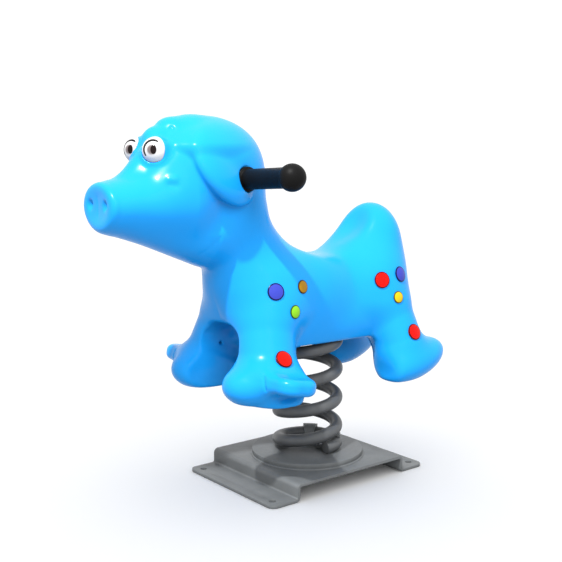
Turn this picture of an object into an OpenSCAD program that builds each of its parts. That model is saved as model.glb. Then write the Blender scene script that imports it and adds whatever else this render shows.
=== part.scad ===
// Spring rider: a moulded animal on one coil spring, bolted to a folded ground plate.
// Millimetres. +X towards the snout, +Y to the animal's left, +Z up.
// The origin is on the ground, under the middle of the spring.

/* [Ground plate] */
// Height of the raised top above the ground
plate_h = 36; // [34:1:46]
// Thickness of the folded sheet
sheet_t = 6; // [5:0.5:7]
// Length of each ground flange
flange_len = 64; // [58:1:70]
// Inner radius of the folds
fold_r = 4; // [3:0.5:6]
// Radius of the flange corners
plate_corner_r = 16; // [10:1:20]
// Spacing of the anchor holes, front to back
anchor_pitch_x = 374; // [368:1:378]
// Spacing of the anchor holes, side to side
anchor_pitch_y = 239; // [225:1:245]
// Distance from an anchor hole to the end of the plate
anchor_end = 20.5; // [18:0.5:24]
// Distance from an anchor hole to the side of the plate
anchor_side = 25; // [22:0.5:30]
// Diameter of the anchor holes
anchor_d = 14; // [11:0.5:16]
// Diameter of the round disc on the raised top
disc_d = 236; // [225:1:245]
// Thickness of the round disc
disc_t = 12; // [10:1:15]

/* [Spring] */
// Outer diameter of the spring
spring_d = 150; // [145:1:152]
// Diameter of the spring wire
wire_d = 26; // [22:0.5:26]
// Height from the disc to the top plate
spring_h = 255; // [245:1:275]
// Turn at which the lower end of the wire starts, counted from the front
spring_start_turns = 0.1; // [0.09:0.01:0.14]
// Turn at which the upper end of the wire stops
spring_end_turns = 4.85; // [4.82:0.01:4.86]

/* [Clamps and bolts] */
// Thickness of the clamp hook over the wire
clamp_t = 6; // [5:0.5:7]
// Width of a clamp along the wire
clamp_w = 28; // [24:1:30]
// Thickness of a clamp foot
clamp_foot_t = 8; // [7:0.5:10]
// Thread diameter of the clamp bolts
clamp_bolt_d = 10; // [8:1:10]
// Length of the top plate
top_plate_len = 180; // [174:1:186]
// Width of the top plate
top_plate_w = 130; // [126:1:136]
// Thickness of the top plate
top_plate_t = 8; // [6:0.5:10]
// Spacing of the body bolts, front to back
body_bolt_pitch_x = 150; // [148:1:154]
// Spacing of the body bolts, side to side
body_bolt_pitch_y = 100; // [98:1:104]
// Thread diameter of the body bolts
body_bolt_d = 8; // [6:1:8]

/* [Trunk] */
// Width of the trunk over the flanks
trunk_w = 188; // [186:1:200]
// Distance from the spring axis forward to the middle of the chest
chest_x = 138; // [130:1:146]
// Distance from the spring axis back to the middle of the rump
rump_x = 152; // [144:1:160]
// Height of the seat's lowest point above the belly rim
seat_h = 183; // [175:1:190]
// Height of the top of the backrest above the belly rim
backrest_h = 277; // [265:1:290]
// Depth of the recess under the belly that takes the top plate
recess_depth = 23; // [20:1:26]

/* [Legs and feet] */
// Diameter of a leg at the ankle
leg_d = 116; // [110:1:122]
// Distance across between the middles of the front ankles
stance_w = 180; // [174:1:188]
// Distance from the spring axis forward to the front ankle
front_leg_x = 178; // [172:1:186]
// Distance from the spring axis back to the rear ankle
rear_leg_x = 176; // [170:1:184]
// Depth of the soles below the belly rim
sole_drop = 92; // [86:1:98]
// Height of a foot
foot_h = 80; // [76:1:86]
// Length of a front foot
front_foot_len = 161; // [154:1:168]
// Length of a rear foot
rear_foot_len = 196; // [188:1:204]
// Width over both footrests
footrest_span = 434; // [424:1:446]
// Length of a footrest along the animal
footrest_len = 88; // [80:1:96]
// Thickness of a footrest
footrest_t = 32; // [28:1:36]

/* [Head] */
// Distance from the spring axis forward to the middle of the skull
head_x = 262; // [255:1:270]
// Height of the middle of the skull above the belly rim
head_h = 362; // [352:1:372]
// Length of the skull
head_len = 252; // [244:1:260]
// Width of the skull
head_w = 188; // [182:1:196]
// Height of the skull
head_t = 190; // [184:1:198]
// Distance from the middle of the skull forward to the face of the snout
snout_reach = 226; // [218:1:234]
// Diameter of the snout
snout_d = 94; // [88:1:100]
// Length of an ear
ear_len = 180; // [170:1:188]
// Width of an ear
ear_w = 112; // [104:1:118]
// Thickness of an ear
ear_t = 52; // [46:1:56]
// Diameter of the ball that an eye is a cap of
eye_d = 50; // [47:1:54]
// Diameter of a nostril
nostril_d = 16; // [12:1:20]

/* [Handle] */
// Height of the handle's middle above the belly rim
handle_h = 334; // [328:1:340]
// Distance from the spring axis forward to the handle
handle_x = 224; // [218:1:230]
// Width over both grip ends
handle_span = 498; // [480:1:520]
// Outer diameter of the handle tube
tube_d = 27; // [22:1:28]
// Wall of the handle tube
tube_wall = 2.5; // [2:0.5:3]
// Diameter of a grip
grip_d = 38; // [36:1:42]
// Diameter of the flange at the root of a grip
grip_flange_d = 47; // [46:1:52]
// Thickness of the flange at the root of a grip
grip_flange_t = 9; // [7:1:11]
// Diameter of the ball at the end of a grip
grip_ball_d = 50; // [48:1:56]

/* [Coloured caps] */
// Diameter of the large caps
large_cap_d = 33; // [28:1:36]
// Diameter of the small caps
small_cap_d = 25; // [20:1:28]
// Height of a cap's dome above its seat
cap_t = 7; // [6:0.5:8]
// Diameter of a cap's stem
cap_stem_d = 8; // [6:1:9]
// Length of a cap's stem
cap_stem_len = 14; // [10:1:18]

/* [Hidden] */
$fn = 48;

// Colours
sky_blue = "#18A0E8";
plate_grey = "#80888A";
spring_grey = "#55585A";
bolt_grey = "#9A9EA2";
grip_black = "#151517";
insert_brass = "#B8A060";
eye_white = "#F4F4F4";
eye_black = "#202020";
eye_brown = "#3A1810";
cap_red = "#FF1400";
cap_purple = "#4B5ACD";
cap_gold = "#AF821E";
cap_green = "#A5EB46";
cap_yellow = "#FADC32";

// Clearances, and the distance by which a cut runs past a face
seat_gap = 0.3;
fit_gap = 0.2;
grip_gap = 0.3;
clamp_gap = 0.4;
hole_gap = 1;
overrun = 20;

// Ground plate
plate_len = anchor_pitch_x + 2 * anchor_end;
plate_w = anchor_pitch_y + 2 * anchor_side;
raised_half = plate_len / 2 - flange_len;
fold_step_count = 6;
disc_z = plate_h;
spring_z = disc_z + disc_t;

// Spring law: the wire lies flat at both ends and climbs at one steady rate between
wire_r = wire_d / 2;
coil_r = (spring_d - wire_d) / 2;
coil_low_z = spring_z + seat_gap + wire_r;
coil_high_z = spring_z + spring_h - seat_gap - wire_r;
climb_from_turns = 0.65;
climb_to_turns = 4.33;
climb_ease_turns = 0.12;
spring_front_angle = 51.6;
wire_side_count = 12;
rings_per_turn_count = 34;

// Fasteners, in shares of their thread diameter
head_across_share = 1.6;
hex_corner_share = 2 / sqrt(3);
head_high_share = 0.64;
nut_high_share = 0.8;
washer_across_share = 2;
washer_thick_share = 0.2;
bolt_tip_share = 0.4;
lower_clamp_turns = [0.25, 0.48];
upper_clamp_turns = [4.49, 4.72];
clamp_hook_share = 0.7;
clamp_inset_share = 1.16;
clamp_toe_share = 1.24;
clamp_bolt_r = coil_r - wire_r - clamp_t - clamp_bolt_d * clamp_inset_share;

// Top plate, recess and threaded inserts
top_plate_z = spring_z + spring_h;
ceiling_z = top_plate_z + top_plate_t;
belly_z = ceiling_z - recess_depth;
top_plate_corner_r = 15;
plate_end_gap = 15;
spring_side_gap = 2;
recess_len = top_plate_len + 2 * plate_end_gap;
recess_w = spring_d + 2 * spring_side_gap;
recess_corner_r = 24;
insert_across_share = 2;
insert_len = 30;

// Blends between the swelling forms of the animal
trunk_blend = 50;
hip_blend = 55;
pair_blend = 10;
ankle_blend = 22;
foot_blend = 40;
footrest_blend = 22;
rear_foot_blend = 30;
rear_front_blend = 16;
head_blend = 40;
neck_blend = 45;
throat_blend = 30;
nose_blend = 18;
tuft_blend = 12;
lobe_blend = 6;
eye_blend = 14;
snout_blend = 12;
ear_blend = 10;
rim_blend = 8;
vault_blend = 20;
sole_blend = 14;
mesh_step = 16;
cell_margin_share = 0.08;
lattice_margin_count = 3;

// Trunk: two barrels, chest, rump, backrest and the hollow of the seat
low_barrel_r_shares = [0.5, 0.479];
low_barrel_high_share = 0.234;
high_barrel_r_shares = [0.426, 0.415];
high_barrel_high_share = 0.59;
barrel_x_shares = [0.79, 0.8];
chest_r_shares = [0.404, 0.394, 0.585];
rump_r_shares = [0.49, 0.415, 0.532];
trunk_high_share = 0.694;
backrest_r_shares = [0.287, 0.383, 0.41];
backrest_x_share = 1.17;
hollow_r_shares = [0.596, 0.904, 0.606];
hollow_x_share = 0.092;
barrel_back_x = -rump_x * barrel_x_shares[0];
barrel_front_x = chest_x * barrel_x_shares[1];
low_barrel_z = belly_z + trunk_w * low_barrel_high_share;
high_barrel_z = belly_z + seat_h * high_barrel_high_share;
chest_at = [chest_x, 0, belly_z + seat_h * trunk_high_share];
rump_at = [-rump_x, 0, belly_z + seat_h * trunk_high_share];
backrest_r = trunk_w * backrest_r_shares;
backrest_at = [-rump_x * backrest_x_share, 0, belly_z + backrest_h - backrest_r.z];
hollow_r = trunk_w * hollow_r_shares;
hollow_at = [-rump_x * hollow_x_share, 0, belly_z + seat_h + hollow_r.z];

// Legs: tapered limbs that lean out, with a vault between the front pair
front_shoulder_shares = [0.798, 0.178, 0.678];
front_leg_r_shares = [0.534, 0.5];
ankle_drop_shares = [0.283, 0.217];
rear_hip_shares = [0.847, 0.211, 0.612];
rear_stance_share = 1.022;
rear_leg_r_shares = [0.534, 0.466];
vault_r_shares = [0.82, 0.31, 0.74];
vault_x_share = 1.404;
vault_drop_share = 0.36;
front_shoulder = [front_leg_x * front_shoulder_shares.x, stance_w * front_shoulder_shares.y,
    belly_z + seat_h * front_shoulder_shares.z];
front_ankle = [front_leg_x, stance_w / 2, belly_z - sole_drop * ankle_drop_shares[0]];
rear_hip = [-rear_leg_x * rear_hip_shares.x, stance_w * rear_hip_shares.y,
    belly_z + seat_h * rear_hip_shares.z];
rear_ankle = [-rear_leg_x, stance_w / 2 * rear_stance_share, belly_z - sole_drop * ankle_drop_shares[1]];
vault_at = [front_leg_x * vault_x_share, 0, belly_z - sole_drop * vault_drop_share];

// Feet: a toe and a heel in front, one leaning pad behind, and the flat soles
sole_z = belly_z - sole_drop;
sole_slope_share = 0.02;
foot_z = sole_z + foot_h / 2;
toe_r_shares = [0.41, 0.342, 0.261];
toe_x_share = 0.186;
heel_r_shares = [0.323, 0.385, 0.261];
heel_x_share = 0.081;
heel_out_share = 0.089;
toe_at = [front_leg_x + front_foot_len * toe_x_share, stance_w / 2, foot_z];
heel_at = [front_leg_x - front_foot_len * heel_x_share, stance_w / 2 * (1 + heel_out_share), foot_z];
footrest_reach_share = 0.336;
footrest_x_share = 1.045;
footrest_high_share = 0.638;
footrest_corner_share = 0.386;
footrest_edge_share = 0.406;
footrest_tip_angle = 10;
footrest_half = [footrest_len / 2, footrest_span / 2 * footrest_reach_share, footrest_t / 2];
footrest_corner_r = footrest_len * footrest_corner_share;
footrest_edge_r = footrest_t * footrest_edge_share;
footrest_at = [front_leg_x * footrest_x_share, footrest_span / 2 - footrest_half.y,
    sole_z + foot_h * footrest_high_share];
rear_foot_r_shares = [0.5, 0.276, 0.214];
rear_foot_x_share = 0.092;
rear_foot_stance_share = 1.178;
rear_foot_lean_angle = 13;
rear_foot_high_share = 0.425;
rear_front_share = 0.727;
rear_foot_at = [-rear_leg_x - rear_foot_len * rear_foot_x_share, stance_w / 2 * rear_foot_stance_share,
    sole_z + foot_h * rear_foot_high_share];
rear_front_x = -rear_leg_x * rear_front_share;

// Head: neck, skull, face, snout, jaw, tuft, brows that carry the eyes, and ears
head_z = belly_z + head_h;
neck_x_shares = [0.649, 0.809];
neck_z_shares = [0.42, 0.862];
neck_r_shares = [0.383, 0.415];
face_r_shares = [0.278, 0.426, 0.368];
face_x_share = 0.31;
face_drop_share = 0.2;
snout_root_x_share = 0.27;
snout_root_drop_share = 0.337;
snout_drop_share = 0.363;
snout_r_shares = [0.798, 0.5];
snout_end_share = 0.064;
jaw_x_shares = [-0.048, 0.548];
jaw_drop_shares = [0.621, 0.516];
jaw_r_shares = [0.415, 0.266];
tuft_x_shares = [0.357, 0.254, 0.127];
tuft_rise_shares = [0.263, 0.347, 0.358];
tuft_r_shares = [[0.143, 0.16, 0.137], [0.143, 0.181, 0.137], [0.175, 0.213, 0.147]];
eye_x_share = 0.476;
eye_side_share = 0.173;
eye_rise_share = 0.158;
brow_share = 0.97;
ear_x_share = 0.06;
ear_side_share = 0.404;
ear_drop_share = 0.016;
ear_pitch_angle = 38;
ear_tilt_angle = 34;
snout_x = head_x + snout_reach;
skull_at = [head_x, 0, head_z];
skull_r = [head_len, head_w, head_t] / 2;
neck_low = [head_x * neck_x_shares[0], 0, belly_z + head_h * neck_z_shares[0]];
neck_high = [head_x * neck_x_shares[1], 0, belly_z + head_h * neck_z_shares[1]];
face_at = skull_at + [head_len * face_x_share, 0, -head_t * face_drop_share];
face_r = [head_len * face_r_shares.x, head_w * face_r_shares.y, head_t * face_r_shares.z];
snout_root = skull_at + [head_len * snout_root_x_share, 0, -head_t * snout_root_drop_share];
snout_end = [snout_x - snout_d * snout_end_share, 0, head_z - head_t * snout_drop_share];
jaw_root = skull_at + [head_len * jaw_x_shares[0], 0, -head_t * jaw_drop_shares[0]];
jaw_end = skull_at + [head_len * jaw_x_shares[1], 0, -head_t * jaw_drop_shares[1]];
lobes_at = [for (i = [0:2])
    skull_at + [head_len * tuft_x_shares[i], 0, head_t * tuft_rise_shares[i]]];
lobes_r = [for (r = tuft_r_shares) [head_len * r.x, head_w * r.y, head_t * r.z]];
eye_at = skull_at + [head_len * eye_x_share, head_w * eye_side_share, head_t * eye_rise_share];
ear_at = skull_at + [head_len * ear_x_share, head_w * ear_side_share, -head_t * ear_drop_share];
ear_r = [ear_len, ear_t, ear_w] / 2;

// Eyes: caps of one ball, cut off by a plane, that look forwards and a little out and up
eye_turn_angle = 29;
eye_lift_angle = 6;
eye_plane_share = 0.4;
eye_rim_r = eye_d / 2 * sqrt(1 - eye_plane_share * eye_plane_share);
gaze_turn_angle = 22;
gaze_lift_angle = 8;
pupil_half_angle = 16;
ring_angles = [34, 39];
ring_from_angle = 139;
ring_sweep_angle = 188;
inlay_depth = 2;
inlay_proud = 0.4;

// Nostrils and the vents of the moulding inside the front legs
nostril_side_share = 0.24;
nostril_rise_share = 0.1;
nostril_sink_share = 0.3;
vent_d = 9;
vent_depth = 14;
vent_x_share = 1.107;
vent_z_share = 0.054;

// Handle: the flange of each grip sits in a flat round seat on the ear
handle_z = belly_z + handle_h;
grip_seat_sink = 4;
tube_end_share = 0.1;
handle_rise_angle = 3;

// Places of the caps: shares of the leg's distance from the spring axis, and of the seat's height
red_place_shares = [[1.011, 0.005], [-0.642, 0.672], [-1.006, 0.055]];
purple_place_shares = [[0.944, 0.683], [-0.932, 0.716]];
gold_place_shares = [[0.584, 0.705]];
green_place_shares = [[0.736, 0.459]];
yellow_place_shares = [[-0.835, 0.464]];
cap_sink = 2.5;
cap_rim_share = 0.55;
search_step_count = 22;
probe = 0.5;

// Distance laws of the forms: negative inside, in millimetres

function lump_gap(p, at, r) =
    let (q = [(p.x - at.x) / r.x, (p.y - at.y) / r.y, (p.z - at.z) / r.z],
        far = norm(q),
        slope = norm([q.x / r.x, q.y / r.y, q.z / r.z]))
    slope == 0 ? -min(r) : far * (far - 1) / slope;

function limb_gap(p, a, b, ra, rb) =
    let (ab = b - a,
        along = max(0, min(1, (p - a) * ab / (ab * ab))))
    norm(p - a - along * ab) - ra - along * (rb - ra);

// Flat slab with rounded corners in plan and rounded edges
function slab_gap(p, half, corner_r, edge_r) =
    let (x = abs(p.x) - half.x + corner_r,
        y = abs(p.y) - half.y + corner_r,
        side = norm([max(x, 0), max(y, 0)]) + min(max(x, y), 0) - corner_r + edge_r,
        high = abs(p.z) - half.z + edge_r)
    norm([max(side, 0), max(high, 0)]) + min(max(side, high), 0) - edge_r;

function joined(a, b, reach) =
    let (near = max(reach - abs(a - b), 0) / reach)
    min(a, b) - near * near * reach / 4;

function carved(a, b, reach) = -joined(-a, b, reach);

function turned_xz(p, at, angle) =
    let (x = p.x - at.x, z = p.z - at.z)
    [x * cos(angle) + z * sin(angle), p.y - at.y, z * cos(angle) - x * sin(angle)];

function turned_yz(p, angle) =
    [p.x, p.y * cos(angle) + p.z * sin(angle), p.z * cos(angle) - p.y * sin(angle)];

function trunk_gap(p) =
    let (low = limb_gap(p, [barrel_back_x, 0, low_barrel_z], [barrel_front_x, 0, low_barrel_z],
            trunk_w * low_barrel_r_shares[0], trunk_w * low_barrel_r_shares[1]),
        high = limb_gap(p, [barrel_back_x, 0, high_barrel_z], [barrel_front_x, 0, high_barrel_z],
            trunk_w * high_barrel_r_shares[0], trunk_w * high_barrel_r_shares[1]),
        barrels = joined(low, high, trunk_blend),
        chest = joined(barrels, lump_gap(p, chest_at, trunk_w * chest_r_shares), trunk_blend),
        rump = joined(chest, lump_gap(p, rump_at, trunk_w * rump_r_shares), trunk_blend),
        back = joined(rump, lump_gap(p, backrest_at, backrest_r), trunk_blend),
        seat = carved(back, lump_gap(p, hollow_at, hollow_r), throat_blend))
    carved(seat, p.z - belly_z, rim_blend);

function legs_gap(p, trunk) =
    let (front = limb_gap(p, front_shoulder, front_ankle,
            leg_d * front_leg_r_shares[0], leg_d * front_leg_r_shares[1]),
        rear = limb_gap(p, rear_hip, rear_ankle,
            leg_d * rear_leg_r_shares[0], leg_d * rear_leg_r_shares[1]),
        legs = joined(trunk, joined(front, rear, pair_blend), hip_blend))
    carved(legs, lump_gap(p, vault_at, leg_d * vault_r_shares), vault_blend);

function feet_gap(p, legs) =
    let (toe = lump_gap(p, toe_at, front_foot_len * toe_r_shares),
        heel = lump_gap(p, heel_at, front_foot_len * heel_r_shares),
        front = joined(legs, joined(toe, heel, foot_blend), ankle_blend),
        slab = slab_gap(turned_xz(p, footrest_at, footrest_tip_angle), footrest_half,
            footrest_corner_r, footrest_edge_r),
        rest = joined(front, slab, footrest_blend),
        pad = carved(lump_gap(turned_xz(p, rear_foot_at, -rear_foot_lean_angle), [0, 0, 0],
            rear_foot_len * rear_foot_r_shares), rear_front_x - p.x, rear_front_blend),
        feet = joined(rest, pad, rear_foot_blend))
    carved(feet, p.z - sole_z - sole_slope_share * (p.x - front_leg_x), sole_blend);

function head_gap(p) =
    let (skull = lump_gap(p, skull_at, skull_r),
        face = joined(skull, lump_gap(p, face_at, face_r), head_blend),
        jaw = joined(face, limb_gap(p, jaw_root, jaw_end,
            head_w * jaw_r_shares[0], head_w * jaw_r_shares[1]), head_blend),
        snout = joined(jaw, limb_gap(p, snout_root, snout_end,
            snout_d * snout_r_shares[0], snout_d * snout_r_shares[1]), nose_blend),
        lobes = [for (i = [0:2]) lump_gap(p, lobes_at[i], lobes_r[i])],
        tuft = joined(snout, joined(joined(lobes[0], lobes[1], lobe_blend), lobes[2], lobe_blend),
            tuft_blend),
        brows = joined(tuft, norm(p - eye_at) - eye_d / 2 * brow_share, eye_blend))
    carved(brows, snout_x - p.x, snout_blend);

function ears_gap(p, rest) =
    let (ear = turned_yz(turned_xz(p, ear_at, ear_pitch_angle), ear_tilt_angle))
    joined(rest, lump_gap(ear, [0, 0, 0], ear_r), ear_blend);

// The whole animal, for a point with y at or above zero; what can't reach the point is left out
legs_below_z = front_shoulder.z + leg_d * front_leg_r_shares[0] + hip_blend;
neck_ahead_x = neck_low.x - head_w * neck_r_shares[0] - neck_blend;

function neck_gap(p, body) =
    joined(body, limb_gap(p, neck_low, neck_high,
        head_w * neck_r_shares[0], head_w * neck_r_shares[1]), neck_blend);

function half_gap(p) =
    let (trunk = trunk_gap(p),
        body = p.z > legs_below_z ? trunk : feet_gap(p, legs_gap(p, trunk)))
    p.x < neck_ahead_x ? body : ears_gap(p, joined(neck_gap(p, body), head_gap(p), throat_blend));

function body_gap(p) = half_gap([p.x, abs(p.y), p.z]);

function unit(v) = v / norm(v);

function body_slope(p) =
    [body_gap(p + [probe, 0, 0]) - body_gap(p - [probe, 0, 0]),
        body_gap(p + [0, probe, 0]) - body_gap(p - [0, probe, 0]),
        body_gap(p + [0, 0, probe]) - body_gap(p - [0, 0, probe])] / (2 * probe);

function body_normal(p) = unit(body_slope(p));

// Side of the animal at a place seen from the left: the y at which the skin is met
function skin_y(x, z, low, high, steps) =
    let (mid = (low + high) / 2)
    steps == 0 ? mid
        : body_gap([x, mid, z]) < 0 ? skin_y(x, z, mid, high, steps - 1)
        : skin_y(x, z, low, mid, steps - 1);

function skin_at(x, z) = [x, skin_y(x, z, 0, footrest_span / 2, search_step_count), z];

// Skin of the animal: one point in each lattice cell that the skin passes through, set on the skin,
// and a four-sided patch round each lattice edge that crosses it. One half is worked out, then mirrored.

function running(v) = [for (i = 0, s = 0; i < len(v); s = s + v[i], i = i + 1) s];
function total(v) = v * [for (a = v) 1];
function flat(v) = [for (a = v) each a];

cell_corners = [for (j = [0, 1], i = [0, 1], k = [0, 1]) [j, i, k]];
cell_edges = [for (a = [0:7], step = [1, 2, 4]) if (floor(a / step) % 2 == 0) [a, a + step]];

function crossing(a, b, ga, gb) = a + (b - a) * ga / (ga - gb);

// Slope over one cell, from the gaps at its corners
function cell_slope(gaps) =
    [gaps * [for (c = cell_corners) 2 * c[1] - 1],
        gaps * [for (c = cell_corners) 2 * c[0] - 1],
        gaps * [for (c = cell_corners) 2 * c[2] - 1]] / (4 * mesh_step);

function on_skin(p, slope) = p - slope * body_gap(p) / (slope * slope);

function kept_in(p, low, high) = [for (a = [0:2]) max(low[a], min(high[a], p[a]))];

function cell_point(points, gaps) =
    let (cuts = [for (e = cell_edges) if ((gaps[e[0]] < 0) != (gaps[e[1]] < 0))
            crossing(points[e[0]], points[e[1]], gaps[e[0]], gaps[e[1]])],
        middle = [for (a = [0:2]) total([for (c = cuts) c[a]])] / len(cuts),
        slope = cell_slope(gaps),
        margin = mesh_step * cell_margin_share * [1, 1, 1])
    kept_in(on_skin(on_skin(middle, slope), slope), points[0] + margin, points[7] - margin);

// A lattice square whose corners alternate would pinch the skin, so its weakest corner changes sides
square_arms = [for (a = [0, 1, 2], b = [0, 1, 2], sa = [-1, 1], sb = [-1, 1]) if (a < b)
    [[for (n = [0:2]) n == a ? sa : 0], [for (n = [0:2]) n == b ? sb : 0]]];

function value(g, n) = g[n[0]][n[1]][n[2]];

function pinched(g, n, here) =
    [for (arms = square_arms)
        let (one = value(g, n + arms[0]),
            two = value(g, n + arms[1]),
            facing = value(g, n + arms[0] + arms[1]))
        if ((here < 0) == (facing < 0) && (one < 0) == (two < 0) && (here < 0) != (one < 0)
            && abs(here) <= min(abs(one), abs(two), abs(facing))) 1];

function settled(g, n) =
    let (here = value(g, n))
    abs(here) > mesh_step || n[0] == 0 || len(pinched(g, n, here)) == 0 ? here
        : here < 0 ? probe : -probe;

function split_patch(v, q) =
    norm(v[q[0]] - v[q[2]]) < norm(v[q[1]] - v[q[3]])
        ? [[q[0], q[1], q[2]], [q[0], q[2], q[3]]]
        : [[q[0], q[1], q[3]], [q[1], q[2], q[3]]];

module animal_form() {
    margin = lattice_margin_count * mesh_step;
    low = [rear_foot_at.x - rear_foot_len / 2 - margin, 0, sole_z - margin];
    high = [snout_x + margin, footrest_span / 2 + margin, head_z + head_t / 2 + margin];
    nx = ceil((high.x - low.x) / mesh_step);
    ny = ceil(high.y / mesh_step + 0.5);
    nz = ceil((high.z - low.z) / mesh_step);
    place = function (j, i, k) [low.x + i * mesh_step, (j - 0.5) * mesh_step, low.z + k * mesh_step];
    half = [for (j = [1:ny]) [for (i = [0:nx]) [for (k = [0:nz]) half_gap(place(j, i, k))]]];
    raw = concat([half[0]], half);
    firm = [for (j = [1:ny]) [for (i = [0:nx]) [for (k = [0:nz]) settled(raw, [j, i, k])]]];
    gaps = concat([firm[0]], firm);
    met = [for (j = [0:ny - 1]) [for (i = [0:nx - 1]) [for (k = [0:nz - 1])
        let (inside = total([for (c = cell_corners) gaps[j + c[0]][i + c[1]][k + c[2]] < 0 ? 1 : 0]))
        inside > 0 && inside < len(cell_corners) ? 1 : 0]]];
    columns = [for (layer = met) [for (column = layer) total(column)]];
    starts = running(flat(columns));
    ranks = [for (layer = met) [for (column = layer) running(column)]];
    mark = function (j, i, k) starts[j * nx + i] + ranks[j][i][k];
    left = [for (j = [0:ny - 1], i = [0:nx - 1], k = [0:nz - 1]) if (met[j][i][k] == 1)
        let (p = cell_point([for (c = cell_corners) place(j + c[0], i + c[1], k + c[2])],
                [for (c = cell_corners) gaps[j + c[0]][i + c[1]][k + c[2]]]))
        j == 0 ? [p.x, 0, p.z] : p];
    middle_count = total(columns[0]);
    right = [for (i = [middle_count:len(left) - 1]) [left[i].x, -left[i].y, left[i].z]];
    patches = [for (j = [1:ny - 1], i = [1:nx - 1], k = [1:nz - 1])
        let (here = gaps[j][i][k] < 0)
        each [
            if (here != (gaps[j][i + 1][k] < 0))
                let (q = [mark(j - 1, i, k - 1), mark(j, i, k - 1), mark(j, i, k), mark(j - 1, i, k)])
                here ? [q[3], q[2], q[1], q[0]] : q,
            if (here != (gaps[j][i][k + 1] < 0))
                let (q = [mark(j - 1, i - 1, k), mark(j - 1, i, k), mark(j, i, k), mark(j, i - 1, k)])
                here ? [q[3], q[2], q[1], q[0]] : q,
            if (here != (gaps[j + 1][i][k] < 0))
                let (q = [mark(j, i - 1, k - 1), mark(j, i, k - 1), mark(j, i, k), mark(j, i - 1, k)])
                here ? q : [q[3], q[2], q[1], q[0]]
        ]];
    faces = [for (q = patches) each split_patch(left, q)];
    across = function (m) m < middle_count ? m : m + len(right);
    polyhedron(concat(left, right),
        concat(faces, [for (t = faces) [across(t[0]), across(t[2]), across(t[1])]]), convexity = 8);
}

// Shared shapes

module bolt(d, grip_len, reach) {
    translate([0, 0, grip_len])
        cylinder(d = d * head_across_share * hex_corner_share, h = d * head_high_share, $fn = 6);
    translate([0, 0, -reach])
        cylinder(d = d, h = grip_len + reach);
}

module nut(d) {
    difference() {
        cylinder(d = d * head_across_share * hex_corner_share, h = d * nut_high_share, $fn = 6);
        translate([0, 0, -overrun])
            cylinder(d = d + fit_gap, h = d * nut_high_share + 2 * overrun);
    }
}

module washer(d) {
    difference() {
        cylinder(d = d * washer_across_share, h = d * washer_thick_share);
        translate([0, 0, -overrun])
            cylinder(d = d + hole_gap, h = d * washer_thick_share + 2 * overrun);
    }
}

module drilled(d, low, high) {
    translate([0, 0, low - overrun])
        cylinder(d = d, h = high - low + 2 * overrun);
}

module rounded_plate(length, width, corner_r, thick) {
    linear_extrude(thick)
        union() {
            square([length - 2 * corner_r, width], center = true);
            square([length, width - 2 * corner_r], center = true);
            for (sx = [-1, 1], sy = [-1, 1])
                translate([sx * (length / 2 - corner_r), sy * (width / 2 - corner_r)])
                    circle(r = corner_r);
        }
}

module at_turns(turns, r) {
    for (t = turns)
        rotate(spring_front_angle + 360 * t)
            translate([r, 0, 0])
                children();
}

module at_body_bolts() {
    for (sx = [-1, 1], sy = [-1, 1])
        translate([sx * body_bolt_pitch_x / 2, sy * body_bolt_pitch_y / 2, 0])
            children();
}

module both_sides() {
    children();
    mirror([0, 1, 0])
        children();
}

// Points of the fold at p between the edges to a and b
function fold(a, p, b, r) =
    let (u = unit(a - p),
        v = unit(b - p),
        half = acos(u * v) / 2,
        c = p + unit(u + v) * r / sin(half),
        from = atan2((p + u * r / tan(half) - c).y, (p + u * r / tan(half) - c).x),
        to = atan2((p + v * r / tan(half) - c).y, (p + v * r / tan(half) - c).x),
        swing = to - from - 360 * floor((to - from + 180) / 360))
    [for (i = [0:fold_step_count])
        let (angle = from + swing * i / fold_step_count)
        c + r * [cos(angle), sin(angle)]];

// Ground plate

module hat_section() {
    out = plate_len / 2;
    inside = raised_half - sheet_t;
    outer_r = fold_r + sheet_t;
    right = concat(
        fold([0, plate_h - sheet_t], [inside, plate_h - sheet_t], [inside, 0], fold_r),
        fold([inside, plate_h - sheet_t], [inside, 0], [out, 0], outer_r),
        [[out, 0], [out, sheet_t]],
        fold([out, sheet_t], [raised_half, sheet_t], [raised_half, plate_h], fold_r),
        fold([raised_half, sheet_t], [raised_half, plate_h], [0, plate_h], outer_r));
    polygon(concat(right, [for (i = [len(right) - 1:-1:0]) [-right[i].x, right[i].y]]));
}

module base_plate() {
    color(plate_grey)
        difference() {
            intersection() {
                translate([0, plate_w / 2, 0])
                    rotate([90, 0, 0])
                        linear_extrude(plate_w)
                            hat_section();
                rounded_plate(plate_len, plate_w, plate_corner_r, plate_h);
            }
            for (sx = [-1, 1], sy = [-1, 1])
                translate([sx * anchor_pitch_x / 2, sy * anchor_pitch_y / 2, 0])
                    drilled(anchor_d, 0, sheet_t);
            at_turns(lower_clamp_turns, clamp_bolt_r)
                drilled(clamp_bolt_d + hole_gap, plate_h - sheet_t, plate_h);
        }
}

module base_disc() {
    color(plate_grey)
        difference() {
            translate([0, 0, disc_z])
                cylinder(d = disc_d, h = disc_t, $fn = 96);
            at_turns(lower_clamp_turns, clamp_bolt_r)
                drilled(clamp_bolt_d + hole_gap, disc_z, spring_z);
        }
}

// Spring clamps: a hook over the wire and a foot inside the coil

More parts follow.
